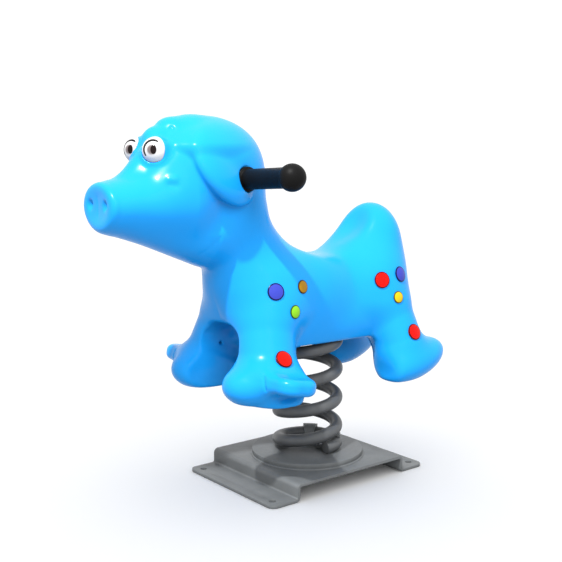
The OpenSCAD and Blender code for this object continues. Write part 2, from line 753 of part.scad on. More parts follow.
module clamp() {
    hook_r = wire_r + clamp_gap + clamp_t;
    arc = 2 * asin(clamp_w / 2 / coil_r);
    difference() {
        union() {
            rotate(-arc / 2)
                rotate_extrude(angle = arc)
                    intersection() {
                        translate([coil_r, seat_gap + wire_r])
                            circle(r = hook_r);
                        union() {
                            square([coil_r - wire_r * clamp_hook_share, seat_gap + wire_r]);
                            translate([0, seat_gap + wire_r])
                                square([coil_r + wire_r * clamp_hook_share, hook_r]);
                        }
                    }
            translate([clamp_bolt_r - clamp_bolt_d * clamp_toe_share, -clamp_w / 2, 0])
                cube([coil_r - clamp_bolt_r, clamp_w, clamp_foot_t]);
        }
        rotate_extrude()
            translate([coil_r, seat_gap + wire_r])
                circle(r = wire_r + clamp_gap);
        translate([clamp_bolt_r, 0, 0])
            drilled(clamp_bolt_d + hole_gap, 0, clamp_foot_t);
    }
}

clamp_grip = clamp_foot_t + clamp_bolt_d * washer_thick_share;

module lower_clamps() {
    color(plate_grey)
        translate([0, 0, spring_z])
            at_turns(lower_clamp_turns, 0)
                clamp();
}

module lower_clamp_washers() {
    color(bolt_grey)
        translate([0, 0, spring_z + clamp_foot_t])
            at_turns(lower_clamp_turns, clamp_bolt_r)
                washer(clamp_bolt_d);
}

module lower_clamp_bolts() {
    color(bolt_grey)
        translate([0, 0, spring_z])
            at_turns(lower_clamp_turns, clamp_bolt_r)
                bolt(clamp_bolt_d, clamp_grip,
                    disc_t + sheet_t + clamp_bolt_d * (nut_high_share + bolt_tip_share));
}

module lower_clamp_nuts() {
    color(bolt_grey)
        translate([0, 0, plate_h - sheet_t - clamp_bolt_d * nut_high_share])
            at_turns(lower_clamp_turns, clamp_bolt_r)
                nut(clamp_bolt_d);
}

module upper_clamps() {
    color(plate_grey)
        translate([0, 0, top_plate_z])
            mirror([0, 0, 1])
                at_turns(upper_clamp_turns, 0)
                    clamp();
}

module upper_clamp_bolts() {
    color(bolt_grey)
        translate([0, 0, top_plate_z])
            at_turns(upper_clamp_turns, clamp_bolt_r)
                bolt(clamp_bolt_d, top_plate_t,
                    clamp_grip + clamp_bolt_d * (nut_high_share + bolt_tip_share));
}

module upper_clamp_washers() {
    color(bolt_grey)
        translate([0, 0, top_plate_z - clamp_grip])
            at_turns(upper_clamp_turns, clamp_bolt_r)
                washer(clamp_bolt_d);
}

module upper_clamp_nuts() {
    color(bolt_grey)
        translate([0, 0, top_plate_z - clamp_grip - clamp_bolt_d * nut_high_share])
            at_turns(upper_clamp_turns, clamp_bolt_r)
                nut(clamp_bolt_d);
}

// Spring: one wound wire

function eased(t) =
    let (a = climb_ease_turns)
    t < -a ? 0 : t > a ? t : (t + a) * (t + a) / (4 * a);

function climb(t) = eased(t - climb_from_turns) - eased(t - climb_to_turns);

function coil_point(t) =
    let (angle = spring_front_angle + 360 * t)
    [coil_r * cos(angle), coil_r * sin(angle),
        coil_low_z + (coil_high_z - coil_low_z) * climb(t) / (climb_to_turns - climb_from_turns)];

module spring() {
    count = ceil((spring_end_turns - spring_start_turns) * rings_per_turn_count);
    step = (spring_end_turns - spring_start_turns) / count;
    line = [for (i = [0:count]) coil_point(spring_start_turns + i * step)];
    apart = round(rings_per_turn_count / 2);
    between = [for (i = [0:count], j = [i + apart:1:count]) norm(line[i] - line[j]) - wire_d];
    echo(least_gap_between_turns_mm = min(between));
    points = [for (i = [0:count], s = [0:wire_side_count - 1])
        let (t = spring_start_turns + i * step,
            out = unit([line[i].x, line[i].y, 0]),
            ahead = unit(coil_point(t + step / 2) - coil_point(t - step / 2)),
            side = cross(out, ahead),
            angle = 360 * s / wire_side_count)
        line[i] + wire_r * (cos(angle) * out + sin(angle) * side)];
    at = function (i, s) i * wire_side_count + s % wire_side_count;
    walls = [for (i = [0:count - 1], s = [0:wire_side_count - 1]) each [
        [at(i, s), at(i, s + 1), at(i + 1, s)],
        [at(i, s + 1), at(i + 1, s + 1), at(i + 1, s)]]];
    ends = [for (s = [1:wire_side_count - 2]) each [
        [at(0, 0), at(0, s + 1), at(0, s)],
        [at(count, 0), at(count, s), at(count, s + 1)]]];
    color(spring_grey)
        polyhedron(points, concat(walls, ends), convexity = 8);
}

// Top plate and what holds the body to it

module top_plate() {
    color(plate_grey)
        difference() {
            translate([0, 0, top_plate_z])
                rounded_plate(top_plate_len, top_plate_w, top_plate_corner_r, top_plate_t);
            at_turns(upper_clamp_turns, clamp_bolt_r)
                drilled(clamp_bolt_d + hole_gap, top_plate_z, ceiling_z);
            at_body_bolts()
                drilled(body_bolt_d + hole_gap, top_plate_z, ceiling_z);
        }
}

module body_washers() {
    color(bolt_grey)
        translate([0, 0, top_plate_z - body_bolt_d * washer_thick_share])
            at_body_bolts()
                washer(body_bolt_d);
}

module body_bolts() {
    color(bolt_grey)
        translate([0, 0, top_plate_z])
            mirror([0, 0, 1])
                at_body_bolts()
                    bolt(body_bolt_d, body_bolt_d * washer_thick_share,
                        top_plate_t + insert_len - body_bolt_d);
}

module body_inserts() {
    color(insert_brass)
        translate([0, 0, ceiling_z])
            at_body_bolts()
                difference() {
                    cylinder(d = body_bolt_d * insert_across_share, h = insert_len);
                    drilled(body_bolt_d + fit_gap, 0, insert_len);
                }
}

// Body shell

module along(direction) {
    rotate([0, acos(direction.z / norm(direction)), atan2(direction.y, direction.x)])
        children();
}

module at_skin(x, z) {
    spot = skin_at(x, z);
    translate(spot)
        along(body_normal(spot))
            children();
}

module at_places(places) {
    for (place = places)
        both_sides()
            at_skin((place[0] > 0 ? front_leg_x : rear_leg_x) * place[0], belly_z + seat_h * place[1])
                translate([0, 0, -cap_sink])
                    children();
}

module cap_seat(d) {
    cylinder(d = d + fit_gap, h = cap_sink + overrun);
    translate([0, 0, -cap_stem_len - seat_gap])
        cylinder(d = cap_stem_d + fit_gap, h = cap_stem_len + cap_sink);
}

module cap(d) {
    rim = cap_t * cap_rim_share;
    dome_r = (d * d / 4 + (cap_t - rim) * (cap_t - rim)) / 2 / (cap_t - rim);
    cylinder(d = d, h = rim);
    intersection() {
        translate([0, 0, cap_t - dome_r])
            sphere(r = dome_r, $fn = 96);
        translate([0, 0, rim - seat_gap])
            cylinder(d = d, h = cap_t);
    }
    translate([0, 0, -cap_stem_len])
        cylinder(d = cap_stem_d, h = cap_stem_len + rim);
}

module at_eye(turn, lift) {
    translate(eye_at)
        rotate([0, 90 - lift, turn])
            children();
}

// The handle rises a little from its middle to each end; a place on its left half, by distance
function handle_point(far) =
    [handle_x, far * cos(handle_rise_angle), handle_z + far * sin(handle_rise_angle)];

function handle_skin(low, high, steps) =
    let (mid = (low + high) / 2)
    steps == 0 ? mid
        : body_gap(handle_point(mid)) < 0 ? handle_skin(mid, high, steps - 1)
        : handle_skin(low, mid, steps - 1);

function grip_seat_far() = handle_skin(0, handle_span / 2, search_step_count) - grip_seat_sink;

module along_handle(far) {
    translate(handle_point(far))
        rotate([handle_rise_angle - 90, 0, 0])
            children();
}

module half_rod(d, length) {
    intersection() {
        along_handle(-tube_d)
            cylinder(d = d, h = tube_d + length);
        translate([handle_x - handle_span / 2, 0, handle_z - handle_span / 2])
            cube(handle_span);
    }
}

module grip_seat() {
    along_handle(grip_seat_far())
        cylinder(d = grip_flange_d + hole_gap, h = grip_seat_sink + overrun);
}

module recess() {
    translate([0, 0, belly_z - overrun])
        rounded_plate(recess_len, recess_w, recess_corner_r, recess_depth + overrun);
}

module body_shell() {
    color(sky_blue)
        difference() {
            animal_form();
            recess();
            translate([0, 0, ceiling_z])
                at_body_bolts()
                    translate([0, 0, -overrun])
                        cylinder(d = body_bolt_d * insert_across_share + fit_gap, h = insert_len + overrun);
            translate([0, 0, ceiling_z])
                at_turns(upper_clamp_turns, clamp_bolt_r)
                    translate([0, 0, -overrun])
                        cylinder(d = clamp_bolt_d * washer_across_share,
                            h = clamp_bolt_d * head_high_share + hole_gap + overrun);
            both_sides()
                half_rod(tube_d + fit_gap, handle_span / 2);
            both_sides()
                grip_seat();
            both_sides()
                at_eye(eye_turn_angle, eye_lift_angle)
                    translate([0, 0, eye_d / 2 * eye_plane_share])
                        cylinder(r = eye_rim_r + fit_gap, h = overrun);
            both_sides()
                translate([snout_x + nostril_d / 2 * nostril_sink_share, snout_d * nostril_side_share,
                    snout_end.z + snout_d * nostril_rise_share])
                    sphere(d = nostril_d);
            both_sides()
                translate([front_leg_x * vent_x_share, front_ankle.y - leg_d / 2 + vent_depth,
                    belly_z + sole_drop * vent_z_share])
                    rotate([90, 0, 0])
                        cylinder(d = vent_d, h = vent_depth + overrun);
            at_places(concat(red_place_shares, purple_place_shares))
                cap_seat(large_cap_d);
            at_places(concat(gold_place_shares, green_place_shares, yellow_place_shares))
                cap_seat(small_cap_d);
        }
}

// Handle

handle_half = handle_span / 2 / cos(handle_rise_angle);
tube_half = handle_half - grip_ball_d * (1 - tube_end_share);

module handle_tube() {
    color(bolt_grey)
        difference() {
            both_sides()
                half_rod(tube_d, tube_half);
            both_sides()
                half_rod(tube_d - 2 * tube_wall, tube_half + overrun);
        }
}

module left_grip() {
    length = handle_half - grip_seat_far();
    tube_reach = tube_half - grip_seat_far();
    color(grip_black)
        along_handle(grip_seat_far())
            difference() {
                union() {
                    cylinder(d = grip_flange_d, h = grip_flange_t);
                    cylinder(d = grip_d, h = length - grip_ball_d / 2);
                    translate([0, 0, length - grip_ball_d / 2])
                        sphere(d = grip_ball_d);
                }
                translate([0, 0, -overrun])
                    cylinder(d = tube_d + grip_gap, h = tube_reach + grip_gap + overrun);
            }
}

module right_grip() {
    mirror([0, 1, 0])
        left_grip();
}

// Eyes

module eye_wedge(angles, depth, proud) {
    rotate_extrude(angle = 360)
        eye_section(angles, depth, proud);
}

module eye_section(angles, depth, proud) {
    low = eye_d / 2 - depth;
    high = eye_d / 2 + proud;
    polygon([[low * sin(angles[0]), low * cos(angles[0])], [low * sin(angles[1]), low * cos(angles[1])],
        [high * sin(angles[1]), high * cos(angles[1])], [high * sin(angles[0]), high * cos(angles[0])]]);
}

module ring_solid(depth, proud) {
    rotate(ring_from_angle)
        rotate_extrude(angle = ring_sweep_angle)
            eye_section(ring_angles, depth, proud);
}

module eye_whites() {
    color(eye_white)
        both_sides()
            difference() {
                at_eye(eye_turn_angle, eye_lift_angle)
                    intersection() {
                        sphere(d = eye_d, $fn = 96);
                        translate([0, 0, eye_d / 2 * eye_plane_share])
                            cylinder(d = eye_d, h = eye_d);
                    }
                at_eye(gaze_turn_angle, gaze_lift_angle) {
                    ring_solid(inlay_depth, overrun);
                    eye_wedge([0, pupil_half_angle], inlay_depth, overrun);
                }
            }
}

module eye_rings() {
    color(eye_black)
        both_sides()
            at_eye(gaze_turn_angle, gaze_lift_angle)
                ring_solid(inlay_depth, inlay_proud);
}

module eye_pupils() {
    color(eye_brown)
        both_sides()
            at_eye(gaze_turn_angle, gaze_lift_angle)
                eye_wedge([0, pupil_half_angle], inlay_depth, inlay_proud);
}

// Coloured caps

module red_caps() {
    color(cap_red)
        at_places(red_place_shares)
            cap(large_cap_d);
}

module purple_caps() {
    color(cap_purple)
        at_places(purple_place_shares)
            cap(large_cap_d);
}

module gold_caps() {
    color(cap_gold)
        at_places(gold_place_shares)
            cap(small_cap_d);
}

module green_caps() {
    color(cap_green)
        at_places(green_place_shares)
            cap(small_cap_d);
}

module yellow_caps() {
    color(cap_yellow)
        at_places(yellow_place_shares)
            cap(small_cap_d);
}

base_plate();
base_disc();
lower_clamps();
lower_clamp_bolts();
lower_clamp_washers();
lower_clamp_nuts();
spring();
top_plate();
upper_clamps();
upper_clamp_bolts();
upper_clamp_washers();
upper_clamp_nuts();
body_bolts();
body_washers();
body_inserts();
body_shell();
handle_tube();
left_grip();
right_grip();
eye_whites();
eye_rings();
eye_pupils();
red_caps();
purple_caps();
gold_caps();
green_caps();
yellow_caps();
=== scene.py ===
"""Looks of the spring rider: a glossy moulded animal on a coil spring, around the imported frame."""

import math

import bmesh
import bpy
import numpy as np
from mathutils import Matrix, Vector


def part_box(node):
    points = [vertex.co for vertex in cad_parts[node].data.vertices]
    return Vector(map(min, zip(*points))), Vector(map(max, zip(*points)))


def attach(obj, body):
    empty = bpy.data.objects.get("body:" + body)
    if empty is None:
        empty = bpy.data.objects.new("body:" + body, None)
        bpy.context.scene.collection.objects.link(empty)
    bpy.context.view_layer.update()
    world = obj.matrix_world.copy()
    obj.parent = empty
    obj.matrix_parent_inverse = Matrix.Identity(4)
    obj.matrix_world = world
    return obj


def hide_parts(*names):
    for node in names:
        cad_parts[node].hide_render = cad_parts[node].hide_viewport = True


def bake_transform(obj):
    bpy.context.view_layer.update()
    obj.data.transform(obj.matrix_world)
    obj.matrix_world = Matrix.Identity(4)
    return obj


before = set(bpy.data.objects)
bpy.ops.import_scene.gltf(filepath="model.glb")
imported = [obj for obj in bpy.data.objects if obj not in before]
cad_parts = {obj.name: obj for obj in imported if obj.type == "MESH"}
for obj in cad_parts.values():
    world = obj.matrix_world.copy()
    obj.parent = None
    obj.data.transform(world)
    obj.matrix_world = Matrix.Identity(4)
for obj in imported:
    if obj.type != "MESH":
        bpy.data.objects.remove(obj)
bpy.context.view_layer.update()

# Sizes are in millimetres and angles in degrees; meshes are in metres
MM = 0.001

# Camera: its place in metres, its axes, its lens and sensor
CAMERA_AT = (1.28229, 1.52959, 0.69397)
CAMERA_RIGHT = (-0.78411, 0.62062, 0.0)
CAMERA_UP = (-0.08835, -0.11163, 0.98981)
CAMERA_BACK = (0.61430, 0.77612, 0.14236)
CAMERA_LENS = 61.615
CAMERA_SENSOR = 36.0

# Floor, surroundings and lamps: places and sizes in metres, power in watts, and whether gloss shows the lamp
FLOOR_SIZE = 40
FLOOR_DROP = 0.0005
WORLD_STRENGTH = 1.16
LAMPS_AIM = (0.1, 0, 0.4)
LAMPS = {
    "key": ((2.44, 1.12, 4.09), 0.14, 370, True),
    "fill": ((1.2, 3.2, 2.4), 2.0, 170, False),
}

# Forms of the animal's left half: a lump is a middle and three radii, a limb two ends and their radii
LOW_BARREL = (-120, 0, 332), (110, 0, 332), 94, 90
HIGH_BARREL = (-120, 0, 396), (110, 0, 396), 80, 78
CHEST = (138, 0, 415), (76, 74, 110)
RUMP = (-152, 0, 415), (88, 78, 100)
BACKREST = (-178, 0, 488), (54, 72, 77)
FLANK = (64, 40, 402), (95, 52, 67)
SEAT_HOLLOW = (-14, 0, 585), (112, 170, 114)
BACK_DISH = (-91, 0, 551), (48, 44, 50)
FRONT_LEG = (142, 32, 412), (178, 90, 262), 62, 58
REAR_LEG = (-149, 38, 400), (-176, 92, 268), 62, 54
TOE = (208, 90, 236), (66, 55, 42)
HEEL = (165, 98, 236), (52, 62, 42)
REAR_FOOT = (-194, 106, 230), (96.4, 54, 42)
NECK = (170, 0, 440), (212, 0, 600), 72, 78
SKULL = (262, 0, 650), (126, 94, 95)
FACE = (340, 0, 612), (70, 80, 70)
JAW = (264, 0, 535), (446, 0, 570), 76, 39
SNOUT = (330, 0, 586), (470, 0, 582), 68, 44
SNOUT_SLIM_SHARE = 0.75
BRIDGE = (366, 0, 677), (413, 0, 620), 27, 28
TUFT_LOBES = [((352, 0, 700), (36, 30, 26)), ((326, 0, 716), (36, 34, 26)), ((294, 0, 717), (44, 40, 28))]
EAR = (267, 76, 639), (78, 26, 56)

# Slabs with rounded corners and edges: the footrest, the pad of the foot under it, the vault between
# the front legs and the pocket that deepens it
FOOTREST_AT = (186, 144, 247)
FOOTREST_HALF = (44, 73, 16)
FOOTREST_CORNER_R = 34
FOOTREST_EDGE_R = 13
PAD_AT = (170, 112, 218)
PAD_HALF = (50, 46, 26)
PAD_CORNER_R = 42
PAD_EDGE_R = 12
VAULT_AT = (245, 0, 242)
VAULT_HALF = (105, 60, 100)
VAULT_CORNER_R = 26
VAULT_EDGE_R = 40
POCKET_AT = (173, 0, 278)
POCKET_HALF = (64, 63, 24)
POCKET_CORNER_R = 14
POCKET_EDGE_R = 16

# Turns of the leaning forms, and the planes that end others
FOOTREST_TIP = 10
POCKET_LEAN = 26
REAR_FOOT_LEAN = -13
EAR_PITCH = 38
EAR_TILT = 34
BELLY_Z = 288
SNOUT_X = 488
REAR_FOOT_X = -128
SOLE_Z = 196
SOLE_SLOPE = 0.02
SOLE_FROM_X = 178

# Reach of the blends between forms
TRUNK_BLEND = 50
SEAT_BLEND = 30
BELLY_BLEND = 8
LEG_PAIR_BLEND = 10
HIP_LOW_BLEND = 16
HIP_HIGH_BLEND = 55
HIP_LOW_Z, HIP_HIGH_Z = 298, 368
VAULT_BLEND = 9
POCKET_BLEND = 8
FOOT_BLEND = 40
ANKLE_BLEND = 22
PAD_BLEND = 14
FOOTREST_BLEND = 38
REAR_FRONT_BLEND = 16
REAR_FOOT_BLEND = 30
SOLE_BLEND = 9
NECK_BLEND = 45
THROAT_BLEND = 30
HEAD_BLEND = 40
NOSE_BLEND = 26
BRIDGE_BLEND = 14
BACK_DISH_BLEND = 32
LOBE_BLEND = 6
TUFT_BLEND = 12
EYE_BLEND = 14
SNOUT_BLEND = 12
EAR_LOW_BLEND = 8
EAR_HIGH_BLEND = 44
EAR_LOW_Z, EAR_HIGH_Z = 662, 694

# Hollows cut into the skin: the recess for the top plate, nostrils, snout dish, vent and wing hollow
RECESS_HALF = (105, 77, 40)
RECESS_CORNER_R = 24
RECESS_EDGE_R = 3
RECESS_BLEND = 4
NOSTRIL = (486, 27, 585), (9, 6.5, 8)
SNOUT_DISH = (501, 0, 582), (17, 50, 36)
VENT = (178, 50, 288), (178, 74, 288), 3.6, 3.6
WING_HOLLOW = (184, 176, 218), (42, 24, 13)
DISH_BLEND = 14
NOSTRIL_BLEND = 6
FINE_BLEND = 3
HOLLOW_BLEND = 10

# Small marks pressed into the skin or raised from it: two ends, outward direction, width, depth
MARKS = {
    "philtrum": ((481, 0, 598), (481, 0, 566), (1.0, 0.0, 0.0), 4, 0.6),
    "mouth_crease": ((271, 73, 522), (301, 48, 488), (0.24, 0.83, -0.42), 2.0, 0.6),
    "mouth_corner": ((277, 73, 525), (285, 70, 523), (0.2, 0.97, -0.14), 8, -1.0),
    "cheek_fold": ((377, 68, 630), (368, 74, 631), (0.55, 0.83, 0.13), 6, -1.8),
    "cheek_crease": ((377, 68, 618), (367, 75, 617), (0.55, 0.83, 0.13), 6, 1.5),
    "brow_dimple": ((346, 30, 721), (347, 30, 721), (0.55, 0.7, 0.46), 4, 1.8),
    "wing_fold": ((229, 152, 264), (229, 158, 242), (0.87, 0.24, 0.0), 2.4, 2.2),
}
MARK_REACH = 40

# Eyes: caps of a ball, cut off by a plane, with an arc and a pupil on them
EYE_AT = Vector((382, 32.6, 680))
EYE_R = 25.0
BROW_R = 24.2
EYE_POCKET_R = 25.5
EYE_PLANE_SHARE = 0.14
EYE_TURN, EYE_LIFT = 16, 6
LEFT_GAZE, RIGHT_GAZE = 41, 20
GAZE_LIFT = 7
RING_FROM, RING_SWEEP = 143, 172
RING_INNER, RING_OUTER = 33, 49
RING_PROUD = 0.6
RING_TAPER_SHARE = 0.3
RING_LEAST_SHARE = 0.15
PUPIL_TURN, PUPIL_LIFT = 7, -2
PUPIL_HALF_W, PUPIL_HALF_H = 15, 23
PUPIL_PROUD = 0.4
IRIS_TURN = -1
IRIS_CORE, IRIS_EDGE = 6, 12

# Lattice for the skin, the steps that set its points on the skin, and the least slope that counts
SKIN_STEP = 2.8
SKIN_LOW, SKIN_HIGH = (-330, 0, 165), (505, 240, 765)
SETTLE_STEPS = 3
PROBE = 0.3
LEAST_SLOPE = 1e-6

# Spring: wire, coil and the law by which it climbs, in turns
SPRING_LOW, SPRING_HIGH = (v.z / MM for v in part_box("spring"))
WIRE_R = 13.0
WIRE_LIP = 1.2
COIL_R = 62.0
FRONT_ANGLE = 51.6
WIRE_FROM, WIRE_TO = 0.1, 4.85
CLIMB_FROM, CLIMB_TO = 0.65, 4.33
CLIMB_EASE = 0.12
WIRE_PROBE = 0.003

# Steel edges: points within the merge gap are one, faces within the flat angle are one face, and corners
# beyond the sharp angle are rounded
MERGE_GAP = 0.01
FLAT_ANGLE = 0.5
SHARP_ANGLE = 35

# Weld bead round the disc of the base
BEAD_RING_R = 118.0
BEAD_R = 3.0

# Handle: it rises from its middle to each end, and its flanges sit in flat seats on the ears
HANDLE_AT = Vector((224, 0, 622))
HANDLE_HALF_SPAN = 249.0
HANDLE_RISE = 3
GRIP_SEAT_SINK = 4.0
GRIP_SEAT_GAP = 0.5
GRIP_R, FLANGE_R, BALL_R = 19.0, 23.5, 25.0
FLANGE_T = 9.0
FLANGE_LOW_R, FLANGE_HIGH_R, GRIP_NECK_R = 1.5, 3.0, 2.0

# Coloured caps: places on the left side as x and z, and their shape
CAP_PLACES = {
    "red": [(180, 289), (-113, 411), (-177, 298)],
    "purple": [(168, 413), (-164, 419)],
    "gold": [(104, 417)],
    "green": [(131, 372)],
    "yellow": [(-147, 373)],
}
CAP_RADII = {"red": 17.4, "purple": 16.8, "gold": 13.4, "green": 13.4, "yellow": 12.8}
CAP_SINK, CAP_T = 6.0, 10.5
CAP_RIM = 7.7
CAP_UNDERCUT = 1.6
CAP_EDGE_R = 0.8
# Band of painted shade round each cap's rim: its width, and how dark it is against the cap's colour
CAP_SHADE_BAND = 1.5
CAP_SHADE_SHARE = 0.12


# Distance laws of the forms, negative inside

def lump(x, y, z, at, r):
    """Gap to an ellipsoid."""
    qx, qy, qz = (x - at[0]) / r[0], (y - at[1]) / r[1], (z - at[2]) / r[2]
    far = np.sqrt(qx * qx + qy * qy + qz * qz)
    slope = np.sqrt((qx / r[0]) ** 2 + (qy / r[1]) ** 2 + (qz / r[2]) ** 2)
    return far * (far - 1) / np.maximum(slope, LEAST_SLOPE)


def limb(x, y, z, a, b, ra, rb):
    """Gap to a round limb that tapers from a to b."""
    a, b = np.array(a, float), np.array(b, float)
    ab = b - a
    along = ((x - a[0]) * ab[0] + (y - a[1]) * ab[1] + (z - a[2]) * ab[2]) / ab.dot(ab)
    along = np.clip(along, 0, 1)
    dx, dy, dz = x - a[0] - along * ab[0], y - a[1] - along * ab[1], z - a[2] - along * ab[2]
    return np.sqrt(dx * dx + dy * dy + dz * dz) - ra - along * (rb - ra)


def slab(x, y, z, half, corner_r, edge_r):
    """Gap to a flat slab about the origin, rounded in plan and at its edges."""
    qx, qy = np.abs(x) - half[0] + corner_r, np.abs(y) - half[1] + corner_r
    side = np.hypot(np.maximum(qx, 0), np.maximum(qy, 0)) + np.minimum(np.maximum(qx, qy), 0)
    side = side - corner_r + edge_r
    high = np.abs(z) - half[2] + edge_r
    out = np.hypot(np.maximum(side, 0), np.maximum(high, 0))
    return out + np.minimum(np.maximum(side, high), 0) - edge_r


def joined(a, b, reach):
    """Two forms as one, with a soft joint."""
    near = np.maximum(reach - np.abs(a - b), 0) / reach
    return np.minimum(a, b) - near * near * reach / 4


def carved(a, b, reach):
    """Form a without form b, with a soft edge."""
    return -joined(-a, b, reach)


def rising(z, low_z, high_z, low, high):
    """Value that rises softly from low to high between two heights."""
    share = np.clip((z - low_z) / (high_z - low_z), 0, 1)
    return low + (high - low) * share * share * (3 - 2 * share)


def turned(a, b, at_a, at_b, degrees):
    """Two coordinates as seen from a frame that is turned about a place."""
    c, s = math.cos(math.radians(degrees)), math.sin(math.radians(degrees))
    return (a - at_a) * c + (b - at_b) * s, (b - at_b) * c - (a - at_a) * s


def direction(turn, lift):
    """Unit direction that is turned to the left and lifted from straight ahead."""
    turn, lift = math.radians(turn), math.radians(lift)
    return Vector((math.cos(lift) * math.cos(turn), math.cos(lift) * math.sin(turn), math.sin(lift)))


def mirrored(v, side):
    """A point or direction of the left side, or its mirror image on the right."""
    return Vector((v.x, v.y * side, v.z))


def trunk_gap(x, y, z):
    d = joined(limb(x, y, z, *LOW_BARREL), limb(x, y, z, *HIGH_BARREL), TRUNK_BLEND)
    for form in (CHEST, RUMP, BACKREST, FLANK):
        d = joined(d, lump(x, y, z, *form), TRUNK_BLEND)
    d = carved(d, lump(x, y, z, *SEAT_HOLLOW), SEAT_BLEND)
    d = carved(d, lump(x, y, z, *BACK_DISH), BACK_DISH_BLEND)
    return carved(d, z - BELLY_Z, BELLY_BLEND)


def legs_gap(x, y, z, trunk):
    legs = joined(limb(x, y, z, *FRONT_LEG), limb(x, y, z, *REAR_LEG), LEG_PAIR_BLEND)
    foot = joined(lump(x, y, z, *TOE), lump(x, y, z, *HEEL), FOOT_BLEND)
    pad = slab(x - PAD_AT[0], y - PAD_AT[1], z - PAD_AT[2], PAD_HALF, PAD_CORNER_R, PAD_EDGE_R)
    hip = rising(z, HIP_LOW_Z, HIP_HIGH_Z, HIP_LOW_BLEND, HIP_HIGH_BLEND)
    d = joined(joined(trunk, legs, hip), joined(foot, pad, PAD_BLEND), ANKLE_BLEND)
    vault = slab(x - VAULT_AT[0], y - VAULT_AT[1], z - VAULT_AT[2], VAULT_HALF, VAULT_CORNER_R, VAULT_EDGE_R)
    d = carved(d, vault, VAULT_BLEND)
    vx, vz = turned(x, z, POCKET_AT[0], POCKET_AT[2], POCKET_LEAN)
    d = carved(d, slab(vx, y, vz, POCKET_HALF, POCKET_CORNER_R, POCKET_EDGE_R), POCKET_BLEND)
    wx, wz = turned(x, z, FOOTREST_AT[0], FOOTREST_AT[2], FOOTREST_TIP)
    wing = slab(wx, y - FOOTREST_AT[1], wz, FOOTREST_HALF, FOOTREST_CORNER_R, FOOTREST_EDGE_R)
    d = joined(d, wing, FOOTREST_BLEND)
    middle, radii = REAR_FOOT
    px, pz = turned(x, z, middle[0], middle[2], REAR_FOOT_LEAN)
    rear = lump(px, y, pz, (0, middle[1], 0), radii)
    d = joined(d, carved(rear, REAR_FOOT_X - x, REAR_FRONT_BLEND), REAR_FOOT_BLEND)
    return carved(d, z - SOLE_Z - SOLE_SLOPE * (x - SOLE_FROM_X), SOLE_BLEND)


def head_gap(x, y, z):
    d = joined(lump(x, y, z, *SKULL), lump(x, y, z, *FACE), HEAD_BLEND)
    d = joined(d, limb(x, y, z, *JAW), HEAD_BLEND)
    d = joined(d, limb(x, y * SNOUT_SLIM_SHARE, z, *SNOUT), NOSE_BLEND)
    d = joined(d, limb(x, y, z, *BRIDGE), BRIDGE_BLEND)
    front, middle, back = (lump(x, y, z, *lobe) for lobe in TUFT_LOBES)
    d = joined(d, joined(joined(front, middle, LOBE_BLEND), back, LOBE_BLEND), TUFT_BLEND)
    d = joined(d, lump(x, y, z, EYE_AT, (BROW_R, BROW_R, BROW_R)), EYE_BLEND)
    return carved(d, SNOUT_X - x, SNOUT_BLEND)


def body_gap(x, y, z):
    """Gap to the whole animal without its hollows and small marks, the same on both sides."""
    y = np.abs(y)
    d = legs_gap(x, y, z, trunk_gap(x, y, z))
    d = joined(d, limb(x, y, z, *NECK), NECK_BLEND)
    d = joined(d, head_gap(x, y, z), THROAT_BLEND)
    middle, radii = EAR
    ex, ez = turned(x, z, middle[0], middle[2], EAR_PITCH)
    ey, ez = turned(y, ez, middle[1], 0, EAR_TILT)
    reach = rising(z, EAR_LOW_Z, EAR_HIGH_Z, EAR_LOW_BLEND, EAR_HIGH_BLEND)
    return joined(d, lump(ex, ey, ez, (0, 0, 0), radii), reach)


def met_along(start, along, low, high, halvings=40):
    """Distance from a start inside the body, along a direction, at which the skin is met."""
    for _ in range(halvings):
        mid = (low + high) / 2
        if body_gap(*(np.array(c) for c in start + along * mid)) < 0:
            low = mid
        else:
            high = mid
    return low


HANDLE_AXIS = direction(90, HANDLE_RISE)
HANDLE_HALF = HANDLE_HALF_SPAN / HANDLE_AXIS.y
GRIP_ROOT = met_along(HANDLE_AT, HANDLE_AXIS, 0, HANDLE_HALF) - GRIP_SEAT_SINK
CEILING_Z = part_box("top_plate")[1].z / MM


def hollows_gap(x, y, z, d):
    """The body's gap with the sunk seats of eyes and grips, the recess and the other hollows."""
    recess = slab(x, y, z - CEILING_Z + RECESS_HALF[2], RECESS_HALF, RECESS_CORNER_R, RECESS_EDGE_R)
    d = carved(d, recess, RECESS_BLEND)
    d = carved(d, lump(x, y, z, *SNOUT_DISH), DISH_BLEND)
    d = carved(d, lump(x, y, z, *NOSTRIL), NOSTRIL_BLEND)
    d = carved(d, lump(x, y, z, *WING_HOLLOW), HOLLOW_BLEND)
    d = carved(d, limb(x, y, z, *VENT), FINE_BLEND)
    look = direction(EYE_TURN, EYE_LIFT)
    ahead = (x - EYE_AT.x) * look.x + (y - EYE_AT.y) * look.y + (z - EYE_AT.z) * look.z
    pocket = lump(x, y, z, EYE_AT, (EYE_POCKET_R, EYE_POCKET_R, EYE_POCKET_R))
    d = carved(d, np.maximum(pocket, EYE_R * EYE_PLANE_SHARE - ahead), FINE_BLEND)
    root, tip = HANDLE_AT + HANDLE_AXIS * GRIP_ROOT, HANDLE_AT + HANDLE_AXIS * HANDLE_HALF
    seat_r = FLANGE_R + GRIP_SEAT_GAP
    above = (y - root.y) * HANDLE_AXIS.y + (z - root.z) * HANDLE_AXIS.z
    return carved(d, np.maximum(limb(x, y, z, root, tip, seat_r, seat_r), -above), FINE_BLEND)


